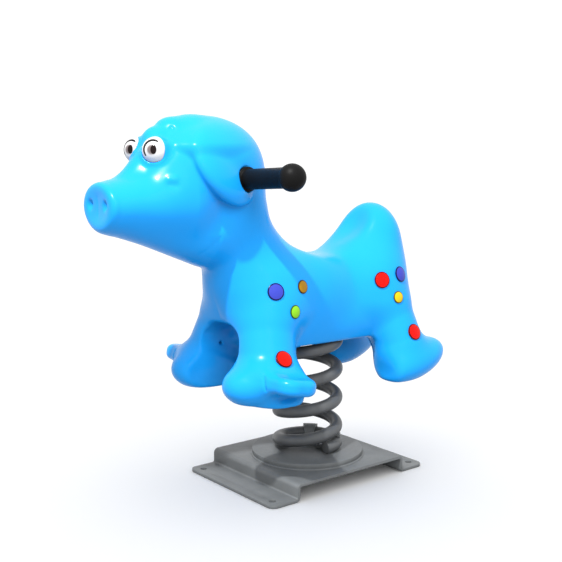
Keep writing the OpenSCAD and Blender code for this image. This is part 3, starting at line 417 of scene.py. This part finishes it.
def marked(x, y, z, d, start, end, out, width, depth):
    """The gap with a line pressed in by a depth, or raised where the depth is negative."""
    out = np.array(out) / np.linalg.norm(out)
    ab = np.array(end, float) - np.array(start, float)
    px, py, pz = x - start[0], y - start[1], z - start[2]
    lift = px * out[0] + py * out[1] + pz * out[2]
    across = limb(px - lift * out[0], py - lift * out[1], pz - lift * out[2],
                  (0, 0, 0), ab - out * ab.dot(out), 0, 0)
    return d + np.where(np.abs(lift) < MARK_REACH, depth * np.exp(-(across / width) ** 2), 0)


def skin_gap(x, y, z):
    """Gap to the skin as it is seen, with its hollows and small marks."""
    y = np.abs(y)
    d = hollows_gap(x, y, z, body_gap(x, y, z))
    for mark in MARKS.values():
        d = marked(x, y, z, d, *mark)
    return d


def slope_of(gap, p):
    """Slope of a gap at each point of an n by 3 array."""
    out = np.empty_like(p)
    for axis in range(3):
        step = np.zeros(3)
        step[axis] = PROBE
        out[:, axis] = (gap(*(p + step).T) - gap(*(p - step).T)) / (2 * PROBE)
    return out


def seat_at(x, z, r, points=16):
    """Seat of a disc on the left flank at x and z: its middle, clear of the skin, and its direction."""
    spot = Vector((x, met_along(Vector((x, 0, z)), Vector((0, 1, 0)), 0, SKIN_HIGH[1]), z))
    out = Vector(slope_of(body_gap, np.array([spot]))[0]).normalized()
    for _ in range(SETTLE_STEPS):
        turn = Vector((0, 0, 1)).rotation_difference(out).to_matrix()
        rim = np.array([spot + turn @ Vector((a, b, 0)) for a, b in arc((0, 0), r, 0, 360, points)])
        out = Vector(slope_of(body_gap, rim).mean(0)).normalized()
    return spot - out * min(float(body_gap(*rim.T).min()), 0), out


# Meshes

def new_piece(name, points, faces, finish):
    """A smooth mesh object from points in millimetres."""
    mesh = bpy.data.meshes.new(name)
    mesh.from_pydata([tuple(c * MM for c in p) for p in points], [], [tuple(f) for f in faces])
    mesh.validate()
    mesh.update()
    piece = bpy.data.objects.new(name, mesh)
    bpy.context.scene.collection.objects.link(piece)
    piece.data.materials.append(finish)
    piece.data.shade_smooth()
    return piece


def skin_mesh(gap, low, high, step):
    """Points and faces of the closed skin where gap is zero, one point per crossed cell, mirrored."""
    xs = np.arange(low[0], high[0] + step, step)
    ys = (np.arange(int(high[1] / step) + 2) - 0.5) * step
    zs = np.arange(low[2], high[2] + step, step)
    plane_x, plane_z = np.meshgrid(xs, zs, indexing="ij")
    value = np.stack([gap(plane_x, np.full_like(plane_x, y), plane_z) for y in ys])
    inside = value < 0
    corners = [(j, i, k) for j in (0, 1) for i in (0, 1) for k in (0, 1)]
    shape = tuple(n - 1 for n in value.shape)

    def corner(a, c):
        return a[c[0]:c[0] + shape[0], c[1]:c[1] + shape[1], c[2]:c[2] + shape[2]]

    count = sum(corner(inside, c).astype(np.int8) for c in corners)
    met = (count > 0) & (count < len(corners))
    cells = np.argwhere(met)
    number = np.full(shape, -1)
    number[met] = np.arange(len(cells))
    total = np.zeros((len(cells), 3))
    hits = np.zeros(len(cells))
    for a in corners:
        for axis in range(3):
            if a[axis]:
                continue
            b = tuple(v + (n == axis) for n, v in enumerate(a))
            va, vb = corner(value, a)[met], corner(value, b)[met]
            cut = (va < 0) != (vb < 0)
            share = np.where(cut, va / np.where(cut, va - vb, 1), 0)
            place = cells + np.array(a) + share[:, None] * (np.array(b) - np.array(a))
            total += np.where(cut[:, None], place, 0)
            hits += cut
    at = total / hits[:, None]
    left = np.stack([xs[0] + at[:, 1] * step, ys[0] + at[:, 0] * step, zs[0] + at[:, 2] * step], 1)
    for _ in range(SETTLE_STEPS):
        slope = slope_of(gap, left)
        move = slope * (gap(*left.T) / np.maximum((slope ** 2).sum(1), LEAST_SLOPE))[:, None]
        left -= np.clip(move, -step / 2, step / 2)
    middle = cells[:, 0] == 0
    left[middle, 1] = 0
    quads = []
    for axis in range(3):
        other = [n for n in range(3) if n != axis]
        near = [slice(1, -1)] * 3
        far = list(near)
        far[axis] = slice(2, None)
        edges = np.argwhere(inside[tuple(near)] != inside[tuple(far)]) + 1
        leaves = inside[tuple(edges.T)]
        ring = []
        for s, t in ((-1, -1), (0, -1), (0, 0), (-1, 0)):
            cell = edges.copy()
            cell[:, other[0]] += s
            cell[:, other[1]] += t
            ring.append(number[tuple(cell.T)])
        quad = np.stack(ring, 1)
        flip = leaves if axis in (0, 2) else ~leaves
        quad[flip] = quad[flip][:, ::-1]
        quads.append(quad)
    quads = np.concatenate(quads)
    first = int(middle.sum())
    right = left[first:] * np.array([1, -1, 1])
    across = np.where(np.arange(len(left)) < first, np.arange(len(left)), np.arange(len(left)) + len(right))
    return np.concatenate([left, right]), np.concatenate([quads, across[quads][:, ::-1]])


def lathe(name, profile, finish, at, along, segments=64):
    """A turned piece: (radius, height) pairs from base to tip, set at a point along a direction."""
    turn = Vector((0, 0, 1)).rotation_difference(along).to_matrix()
    points, rings = [], []
    for r, h in profile:
        if r == 0:
            rings.append([len(points)])
            points.append(Vector((0, 0, h)))
            continue
        rings.append(range(len(points), len(points) + segments))
        for s in range(segments):
            angle = 2 * math.pi * s / segments
            points.append(Vector((r * math.cos(angle), r * math.sin(angle), h)))
    faces = []
    for a, b in zip(rings, rings[1:]):
        for s in range(segments):
            t = (s + 1) % segments
            if len(a) == 1:
                faces.append((a[0], b[t], b[s]))
            elif len(b) == 1:
                faces.append((a[s], a[t], b[0]))
            else:
                faces.append((a[s], a[t], b[t], b[s]))
    return new_piece(name, [at + turn @ p for p in points], faces, finish)


def strand(name, rings, finish):
    """A closed tube through rings of points, each running against the clock as seen from the next."""
    sides = len(rings[0])
    points = [p for ring in rings for p in ring]
    faces = []
    for n in range(len(rings) - 1):
        for s in range(sides):
            a, b = n * sides + s, n * sides + (s + 1) % sides
            faces.append((a, b, b + sides, a + sides))
    faces.append(tuple(reversed(range(sides))))
    faces.append(tuple(range(len(points) - sides, len(points))))
    return new_piece(name, points, faces, finish)


def arc(centre, r, start, end, steps):
    """Points of an arc, angles in degrees."""
    for n in range(steps + 1):
        angle = math.radians(start + (end - start) * n / steps)
        yield centre[0] + r * math.cos(angle), centre[1] + r * math.sin(angle)


def softened(name, node, finish, width):
    """A copy of a CAD node with rounded edges, in its place."""
    piece = bpy.data.objects.new(name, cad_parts[node].data.copy())
    bpy.context.scene.collection.objects.link(piece)
    made = bmesh.new()
    made.from_mesh(piece.data)
    bmesh.ops.remove_doubles(made, verts=made.verts, dist=MERGE_GAP * MM)
    bmesh.ops.dissolve_limit(made, angle_limit=math.radians(FLAT_ANGLE), verts=made.verts, edges=made.edges)
    made.to_mesh(piece.data)
    made.free()
    piece.data.materials.clear()
    piece.data.materials.append(finish)
    piece.data.shade_smooth()
    edge = piece.modifiers.new("edge", "BEVEL")
    edge.width = width * MM
    edge.segments = 2
    edge.limit_method = "ANGLE"
    edge.angle_limit = math.radians(SHARP_ANGLE)
    edge.harden_normals = True
    return piece


def settle(piece, body, slot, *nodes):
    """The piece rides on a body and stands for the nodes; slot is not used."""
    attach(piece, body)
    for node in nodes:
        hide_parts(node)


# Materials: shades are linear red, green and blue; relief is the depth of the fine bumps

PLASTIC_RELIEF, GRIP_RELIEF, COAT_RELIEF, ZINC_RELIEF = 0.06, 0.12, 0.12, 0.05


def material(name):
    made = bpy.data.materials.new(name)
    made.use_nodes = True
    return made, made.node_tree.nodes, made.node_tree.links, made.node_tree.nodes["Principled BSDF"]


def mottled(nodes, links, shader, dark, light, scale, spread=0.5):
    """Colour that drifts slowly between two shades; gives the coordinates and the colour's output."""
    where = nodes.new("ShaderNodeTexCoord")
    noise = nodes.new("ShaderNodeTexNoise")
    noise.inputs["Scale"].default_value = scale
    noise.inputs["Detail"].default_value = 4
    ramp = nodes.new("ShaderNodeValToRGB")
    ramp.color_ramp.elements[0].position = 0.5 - spread / 2
    ramp.color_ramp.elements[1].position = 0.5 + spread / 2
    ramp.color_ramp.elements[0].color = (*dark, 1)
    ramp.color_ramp.elements[1].color = (*light, 1)
    links.new(where.outputs["Object"], noise.inputs["Vector"])
    links.new(noise.outputs["Fac"], ramp.inputs["Fac"])
    links.new(ramp.outputs["Color"], shader.inputs["Base Color"])
    return where, ramp.outputs["Color"]


def rough_between(nodes, links, shader, where, low, high, scale):
    """Roughness that varies in fine patches."""
    noise = nodes.new("ShaderNodeTexNoise")
    noise.inputs["Scale"].default_value = scale
    noise.inputs["Detail"].default_value = 6
    span = nodes.new("ShaderNodeMapRange")
    span.inputs["To Min"].default_value = low
    span.inputs["To Max"].default_value = high
    links.new(where.outputs["Object"], noise.inputs["Vector"])
    links.new(noise.outputs["Fac"], span.inputs["Value"])
    links.new(span.outputs["Result"], shader.inputs["Roughness"])


def bumped(nodes, links, shader, where, scale, depth, detail=2):
    """Fine relief from noise; depth is in millimetres."""
    noise = nodes.new("ShaderNodeTexNoise")
    noise.inputs["Scale"].default_value = scale
    noise.inputs["Detail"].default_value = detail
    bump = nodes.new("ShaderNodeBump")
    bump.inputs["Distance"].default_value = depth * MM
    bump.inputs["Strength"].default_value = 0.6
    links.new(where.outputs["Object"], noise.inputs["Vector"])
    links.new(noise.outputs["Fac"], bump.inputs["Height"])
    links.new(bump.outputs["Normal"], shader.inputs["Normal"])


def moulded_plastic(name, dark, light, rough=(0.2, 0.27), shine=0.13, grain=260, depth=PLASTIC_RELIEF):
    made, nodes, links, shader = material(name)
    where, _ = mottled(nodes, links, shader, dark, light, scale=7)
    rough_between(nodes, links, shader, where, *rough, scale=90)
    bumped(nodes, links, shader, where, grain, depth)
    shader.inputs["Specular IOR Level"].default_value = shine
    return made


def powder_coat(name, dark, light, rough=(0.42, 0.56)):
    made, nodes, links, shader = material(name)
    where, _ = mottled(nodes, links, shader, dark, light, scale=24)
    rough_between(nodes, links, shader, where, *rough, scale=160)
    bumped(nodes, links, shader, where, 900, COAT_RELIEF, detail=3)
    shader.inputs["Metallic"].default_value = 0.25
    shader.inputs["Specular IOR Level"].default_value = 0.45
    return made


def zinc_plate(name):
    made, nodes, links, shader = material(name)
    where, _ = mottled(nodes, links, shader, (0.46, 0.47, 0.5), (0.68, 0.69, 0.7), scale=120)
    rough_between(nodes, links, shader, where, 0.25, 0.42, scale=300)
    bumped(nodes, links, shader, where, 1400, ZINC_RELIEF)
    shader.inputs["Metallic"].default_value = 1
    return made


def eye_enamel(name, dark, light, iris, iris_at):
    """White enamel with a soft iris painted round a place."""
    made, nodes, links, shader = material(name)
    where, colour = mottled(nodes, links, shader, dark, light, scale=40)
    rough_between(nodes, links, shader, where, 0.1, 0.16, scale=200)
    away = nodes.new("ShaderNodeVectorMath")
    away.operation = "DISTANCE"
    away.inputs[1].default_value = tuple(c * MM for c in iris_at)
    span = nodes.new("ShaderNodeMapRange")
    span.interpolation_type = "SMOOTHSTEP"
    span.inputs["From Min"].default_value = IRIS_CORE * MM
    span.inputs["From Max"].default_value = IRIS_EDGE * MM
    span.inputs["To Min"].default_value = 1
    span.inputs["To Max"].default_value = 0
    paint = nodes.new("ShaderNodeMix")
    paint.data_type = "RGBA"
    paint.inputs["B"].default_value = (*iris, 1)
    links.new(where.outputs["Object"], away.inputs[0])
    links.new(away.outputs["Value"], span.inputs["Value"])
    links.new(span.outputs["Result"], paint.inputs["Factor"])
    links.new(colour, paint.inputs["A"])
    links.new(paint.outputs["Result"], shader.inputs["Base Color"])
    shader.inputs["Specular IOR Level"].default_value = 0.28
    return made


SHELL = moulded_plastic("shell_plastic", (0.005, 0.195, 0.52), (0.007, 0.215, 0.57))
PLATE = powder_coat("plate_coat", (0.078, 0.084, 0.087), (0.098, 0.104, 0.107))
COIL = powder_coat("spring_coat", (0.05, 0.053, 0.056), (0.068, 0.071, 0.074), (0.36, 0.5))
ZINC = zinc_plate("zinc_plate")
BRASS = powder_coat("brass_insert", (0.45, 0.3, 0.09), (0.55, 0.38, 0.13))
GRIP = moulded_plastic("grip_plastic", (0.003, 0.003, 0.003), (0.006, 0.006, 0.006),
                       rough=(0.4, 0.5), shine=0.06, grain=700, depth=GRIP_RELIEF)
EYE_DARK = moulded_plastic("eye_dark_plastic", (0.004, 0.004, 0.005), (0.012, 0.011, 0.011), (0.1, 0.18))
EYE_BROWN = moulded_plastic("eye_brown_plastic", (0.003, 0.002, 0.002), (0.012, 0.006, 0.005), (0.08, 0.14))
WHITE_SHADES = (0.4, 0.4, 0.4), (0.44, 0.44, 0.44)
IRIS_SHADE = (0.1, 0.08, 0.08)
CAP_SHADES = {
    "red": ((0.42, 0.002, 0.001), (0.5, 0.003, 0.001)),
    "purple": ((0.021, 0.03, 0.23), (0.028, 0.038, 0.28)),
    # The gold is darkened below its lit colour: painted shade for the grip's shadow band that falls on this
    # cap
    "gold": ((0.19, 0.09, 0.002), (0.24, 0.12, 0.004)),
    "green": ((0.13, 0.32, 0.01), (0.17, 0.38, 0.016)),
    "yellow": ((0.37, 0.27, 0.004), (0.44, 0.33, 0.008)),
}
CAP_FINISHES = {}
for colour, shades in CAP_SHADES.items():
    # Each colour also gets a darker copy: painted shade for the band round the cap's rim
    painted_shade_colours = [tuple(c * CAP_SHADE_SHARE for c in shade) for shade in shades]
    CAP_FINISHES[colour] = (moulded_plastic(f"cap_{colour}_plastic", *shades),
                            moulded_plastic(f"cap_{colour}_edge", *painted_shade_colours))


# Body

shell = new_piece("moulded_animal", *skin_mesh(skin_gap, SKIN_LOW, SKIN_HIGH, SKIN_STEP), SHELL)
settle(shell, "rider", "shell_blue", "body_shell")


# Spring: the wire in two halves, the lower one from the plate and the upper one up to the animal, split at
# the middle of its climb

def eased(t):
    """Climb of a straight line from zero on, with a soft start."""
    if t < -CLIMB_EASE:
        return 0
    return t if t > CLIMB_EASE else (t + CLIMB_EASE) ** 2 / (4 * CLIMB_EASE)


def coil_point(turn):
    """Middle of the wire after a number of turns."""
    angle = math.radians(FRONT_ANGLE + 360 * turn)
    low, high = SPRING_LOW + WIRE_R, SPRING_HIGH - WIRE_R
    climb = (eased(turn - CLIMB_FROM) - eased(turn - CLIMB_TO)) / (CLIMB_TO - CLIMB_FROM)
    return Vector((COIL_R * math.cos(angle), COIL_R * math.sin(angle), low + (high - low) * climb))


def wire_ring(turn, r, sides=28):
    """Points round the wire at one turn, against the clock as seen from further on."""
    at = coil_point(turn)
    ahead = (coil_point(turn + WIRE_PROBE) - coil_point(turn - WIRE_PROBE)).normalized()
    out = Vector((at.x, at.y, 0)).normalized()
    side = ahead.cross(out)
    angles = [2 * math.pi * s / sides for s in range(sides)]
    return [at + (out * math.cos(a) + side * math.sin(a)) * r for a in angles]


def wire_piece(name, start, end, rings_per_turn=64, lip_steps=3):
    """A stretch of the wire; a free end of it has a small rounded lip."""
    count = math.ceil((end - start) * rings_per_turn)
    turns = [(start + (end - start) * n / count, WIRE_R) for n in range(count + 1)]
    lip = [(WIRE_LIP - out, WIRE_R - WIRE_LIP + up)
           for up, out in arc((0, 0), WIRE_LIP, 0, 90, lip_steps)]
    lip = [(back / (2 * math.pi * COIL_R), r) for back, r in lip]
    if start == WIRE_FROM:
        turns[:1] = [(start + back, r) for back, r in reversed(lip)]
    if end == WIRE_TO:
        turns[-1:] = [(end - back, r) for back, r in lip]
    return strand(name, [wire_ring(turn, r) for turn, r in turns], COIL)


middle_turn = (CLIMB_FROM + CLIMB_TO) / 2
middle_z = coil_point(middle_turn).z
wires = {
    wire_piece("spring_lower", WIRE_FROM, middle_turn): ("base", "spring", SPRING_LOW, middle_z),
    wire_piece("spring_upper", middle_turn, WIRE_TO): ("spring", "rider", middle_z, SPRING_HIGH),
}
for wire, (below, above, low, high) in wires.items():
    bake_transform(wire)
    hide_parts("spring")


# Steel pieces: the CAD shapes with rounded edges, as body, finish, slot and edge width

STEEL = {
    "base_plate": ("base", PLATE, "plate_paint", 1.2),
    "base_disc": ("base", PLATE, "plate_paint", 1.0),
    "lower_clamps": ("base", PLATE, "plate_paint", 0.8),
    "lower_clamp_bolts": ("base", ZINC, "zinc_steel", 0.6),
    "lower_clamp_washers": ("base", ZINC, "zinc_steel", 0.3),
    "lower_clamp_nuts": ("base", ZINC, "zinc_steel", 0.6),
    "top_plate": ("rider", PLATE, "plate_paint", 1.0),
    "upper_clamps": ("rider", PLATE, "plate_paint", 0.8),
    "upper_clamp_bolts": ("rider", ZINC, "zinc_steel", 0.6),
    "upper_clamp_washers": ("rider", ZINC, "zinc_steel", 0.3),
    "upper_clamp_nuts": ("rider", ZINC, "zinc_steel", 0.6),
    "body_bolts": ("rider", ZINC, "zinc_steel", 0.5),
    "body_washers": ("rider", ZINC, "zinc_steel", 0.3),
    "body_inserts": ("rider", BRASS, "insert_brass", 0.4),
    "handle_tube": ("rider", ZINC, "zinc_steel", 0.4),
}
for node, (body, finish, slot, width) in STEEL.items():
    settle(softened("edged_" + node, node, finish, width), body, slot, node)


# Weld bead in the corner between the disc and the plate

bead_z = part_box("base_disc")[0].z / MM
bead_profile = list(arc((BEAD_RING_R, 0), BEAD_R, -90, 270, 12))
bead = lathe("disc_weld", bead_profile, PLATE, Vector((0, 0, bead_z)), Vector((0, 0, 1)), segments=160)
settle(bead, "base", "plate_paint")


# Grips: a flange at the root, a plain sleeve and a ball

grip_len = HANDLE_HALF - GRIP_ROOT
grip_profile = [(0, 0)]
grip_profile += arc((FLANGE_R - FLANGE_LOW_R, FLANGE_LOW_R), FLANGE_LOW_R, -90, 0, 4)
grip_profile += arc((FLANGE_R - FLANGE_HIGH_R, FLANGE_T - FLANGE_HIGH_R), FLANGE_HIGH_R, 0, 90, 6)
grip_profile += arc((GRIP_R + GRIP_NECK_R, FLANGE_T + GRIP_NECK_R), GRIP_NECK_R, 270, 180, 5)
grip_profile += arc((0, grip_len - BALL_R), BALL_R, -math.degrees(math.acos(GRIP_R / BALL_R)), 90, 24)
grip_profile[-1] = (0, grip_len)
for node, side in {"left_grip": 1, "right_grip": -1}.items():
    along = mirrored(HANDLE_AXIS, side)
    grip = lathe("sleeve_" + node, grip_profile, GRIP, mirrored(HANDLE_AT, side) + along * GRIP_ROOT, along)
    settle(grip, "rider", "grip_black", node)


# Eyes

def on_eye(side, turn, lift, tilt, angle, proud):
    """Point on an eye, at a tilt from a direction and an angle about it, from below towards the left."""
    tilt, angle = math.radians(tilt), math.radians(angle)
    ahead, left = direction(turn, lift), direction(turn + 90, 0)
    down = left.cross(ahead)
    way = ahead * math.cos(tilt) + (down * math.cos(angle) + left * math.sin(angle)) * math.sin(tilt)
    return mirrored(EYE_AT, side) + way * (EYE_R + proud)


def eye_ring(name, side, gaze, steps=48, sides=8):
    """An arc that stands a little proud of the white and tapers to both ends."""
    rings = []
    middle, half = (RING_INNER + RING_OUTER) / 2, (RING_OUTER - RING_INNER) / 2
    for n in range(steps + 1):
        slim = max(math.sin(math.pi * n / steps) ** RING_TAPER_SHARE, RING_LEAST_SHARE)
        angle = RING_FROM + RING_SWEEP * n / steps
        turns = [-2 * math.pi * s / sides for s in range(sides)]
        rings.append([on_eye(side, gaze, GAZE_LIFT, middle + half * slim * math.cos(turn), angle,
                             RING_PROUD * slim * math.sin(turn)) for turn in turns])
    ring = strand(name, rings, EYE_DARK)
    ring.data.shade_flat()
    return ring


def eye_pupil(name, side, gaze, rings=8, segments=40):
    """An oval lens on the eye, with its rim sunk under the white."""
    look = side, gaze + PUPIL_TURN, GAZE_LIFT + PUPIL_LIFT
    points, faces = [on_eye(*look, 0, 0, PUPIL_PROUD)], []
    for n in range(1, rings + 1):
        share = n / rings
        for s in range(segments):
            angle = 2 * math.pi * s / segments
            reach = 1 / math.hypot(math.sin(angle) / PUPIL_HALF_W, math.cos(angle) / PUPIL_HALF_H)
            proud = PUPIL_PROUD * (1 - 2 * share ** 4)
            points.append(on_eye(*look, reach * share, math.degrees(angle), proud))
    last = len(points) - segments
    points.append(on_eye(*look, 0, 0, -2 * PUPIL_PROUD))
    for s in range(segments):
        t = (s + 1) % segments
        faces.append((0, 1 + s, 1 + t))
        faces.append((last + t, last + s, len(points) - 1))
        for a in range(1, last, segments):
            faces.append((a + s, a + segments + s, a + segments + t, a + t))
    return new_piece(name, points, faces, EYE_BROWN)


white_profile = [(0, EYE_R * EYE_PLANE_SHARE)]
white_profile += arc((0, 0), EYE_R, math.degrees(math.asin(EYE_PLANE_SHARE)), 90, 28)
white_profile[-1] = (0, EYE_R)
for side, label, gaze in ((1, "left", LEFT_GAZE), (-1, "right", RIGHT_GAZE)):
    iris_at = on_eye(side, gaze + IRIS_TURN, GAZE_LIFT + PUPIL_LIFT, 0, 0, 0)
    enamel = eye_enamel("eye_enamel_" + label, *WHITE_SHADES, IRIS_SHADE, iris_at)
    look = mirrored(direction(EYE_TURN, EYE_LIFT), side)
    white = lathe("eye_white_" + label, white_profile, enamel, mirrored(EYE_AT, side), look, segments=96)
    settle(white, "rider", "eye_white", "eye_whites")
    settle(eye_ring("eye_ring_" + label, side, gaze), "rider", "eye_dark", "eye_rings")
    settle(eye_pupil("eye_pupil_" + label, side, gaze), "rider", "eye_brown", "eye_pupils")


# Coloured caps on the flanks: a stem under a domed head, whose edge overhangs the skin a little and is
# darkened as painted shade round the rim

def cap_profile(r, steps=10):
    dome = CAP_T - CAP_RIM
    ball = (r * r + dome * dome) / 2 / dome
    yield 0, 0
    yield r - CAP_UNDERCUT, 0
    yield r - CAP_UNDERCUT, CAP_SINK
    yield from arc((r - CAP_EDGE_R, CAP_RIM - CAP_EDGE_R / 2), CAP_EDGE_R, -60, 45, 5)
    for n in range(1, steps + 1):
        reach = (r - CAP_EDGE_R) * (1 - n / steps)
        yield reach, CAP_T - ball + math.sqrt(ball * ball - reach * reach)


for colour, places in CAP_PLACES.items():
    number = 0
    for x, z in places:
        r = CAP_RADII[colour]
        spot, out = seat_at(x, z, r)
        for side in (1, -1):
            number += 1
            face = mirrored(out, side)
            top, edge = CAP_FINISHES[colour]
            root = mirrored(spot, side) - face * CAP_SINK
            cap = lathe(f"{colour}_cap_{number}", list(cap_profile(r)), top, root, face, segments=48)
            # Faces near the rim take the darker copy, painted shade round the cap's edge
            cap.data.materials.append(edge)
            for polygon in cap.data.polygons:
                reach = polygon.center / MM - root
                if (reach - face * reach.dot(face)).length > r - CAP_SHADE_BAND:
                    polygon.material_index = 1
            settle(cap, "rider", "cap_" + colour, colour + "_caps")


# Floor, light and camera

bpy.ops.mesh.primitive_plane_add(size=FLOOR_SIZE, location=(0, 0, -FLOOR_DROP))
floor = bpy.context.object
floor.name = "floor"
floor_paint, nodes, links, shader = material("floor_paint")
mottled(nodes, links, shader, (0.95, 0.95, 0.95), (0.97, 0.97, 0.97), scale=1.5)
shader.inputs["Roughness"].default_value = 0.9
floor.data.materials.append(floor_paint)

world = bpy.data.worlds.new("studio")
bpy.context.scene.world = world
world.use_nodes = True
world.node_tree.nodes["Background"].inputs["Color"].default_value = (1, 1, 1, 1)
world.node_tree.nodes["Background"].inputs["Strength"].default_value = WORLD_STRENGTH


# The lamps leave the floor to the even light of the surroundings

unlit = bpy.data.collections.new("unlit_by_lamps")
unlit.objects.link(floor)
unlit.collection_objects[0].light_linking.link_state = "EXCLUDE"


def soft_light(name, at, size, power, mirrored_by_gloss):
    """A square area light that looks at the animal."""
    lamp = bpy.data.lights.new(name, "AREA")
    lamp.size = size
    lamp.energy = power
    holder = bpy.data.objects.new(name, lamp)
    bpy.context.scene.collection.objects.link(holder)
    holder.location = at
    holder.rotation_euler = (Vector(LAMPS_AIM) - Vector(at)).to_track_quat("-Z", "Y").to_euler()
    holder.visible_glossy = mirrored_by_gloss
    holder.light_linking.receiver_collection = unlit


for name, settings in LAMPS.items():
    soft_light(name, *settings)

camera = bpy.data.objects.new("camera", bpy.data.cameras.new("camera"))
bpy.context.scene.collection.objects.link(camera)
camera.data.sensor_width = CAMERA_SENSOR
camera.data.sensor_fit = "HORIZONTAL"
camera.data.lens = CAMERA_LENS
turn = Matrix((CAMERA_RIGHT, CAMERA_UP, CAMERA_BACK)).transposed()
camera.matrix_world = Matrix.Translation(CAMERA_AT) @ turn.to_4x4()
bpy.context.scene.camera = camera
bpy.context.scene.view_settings.view_transform = "Standard"
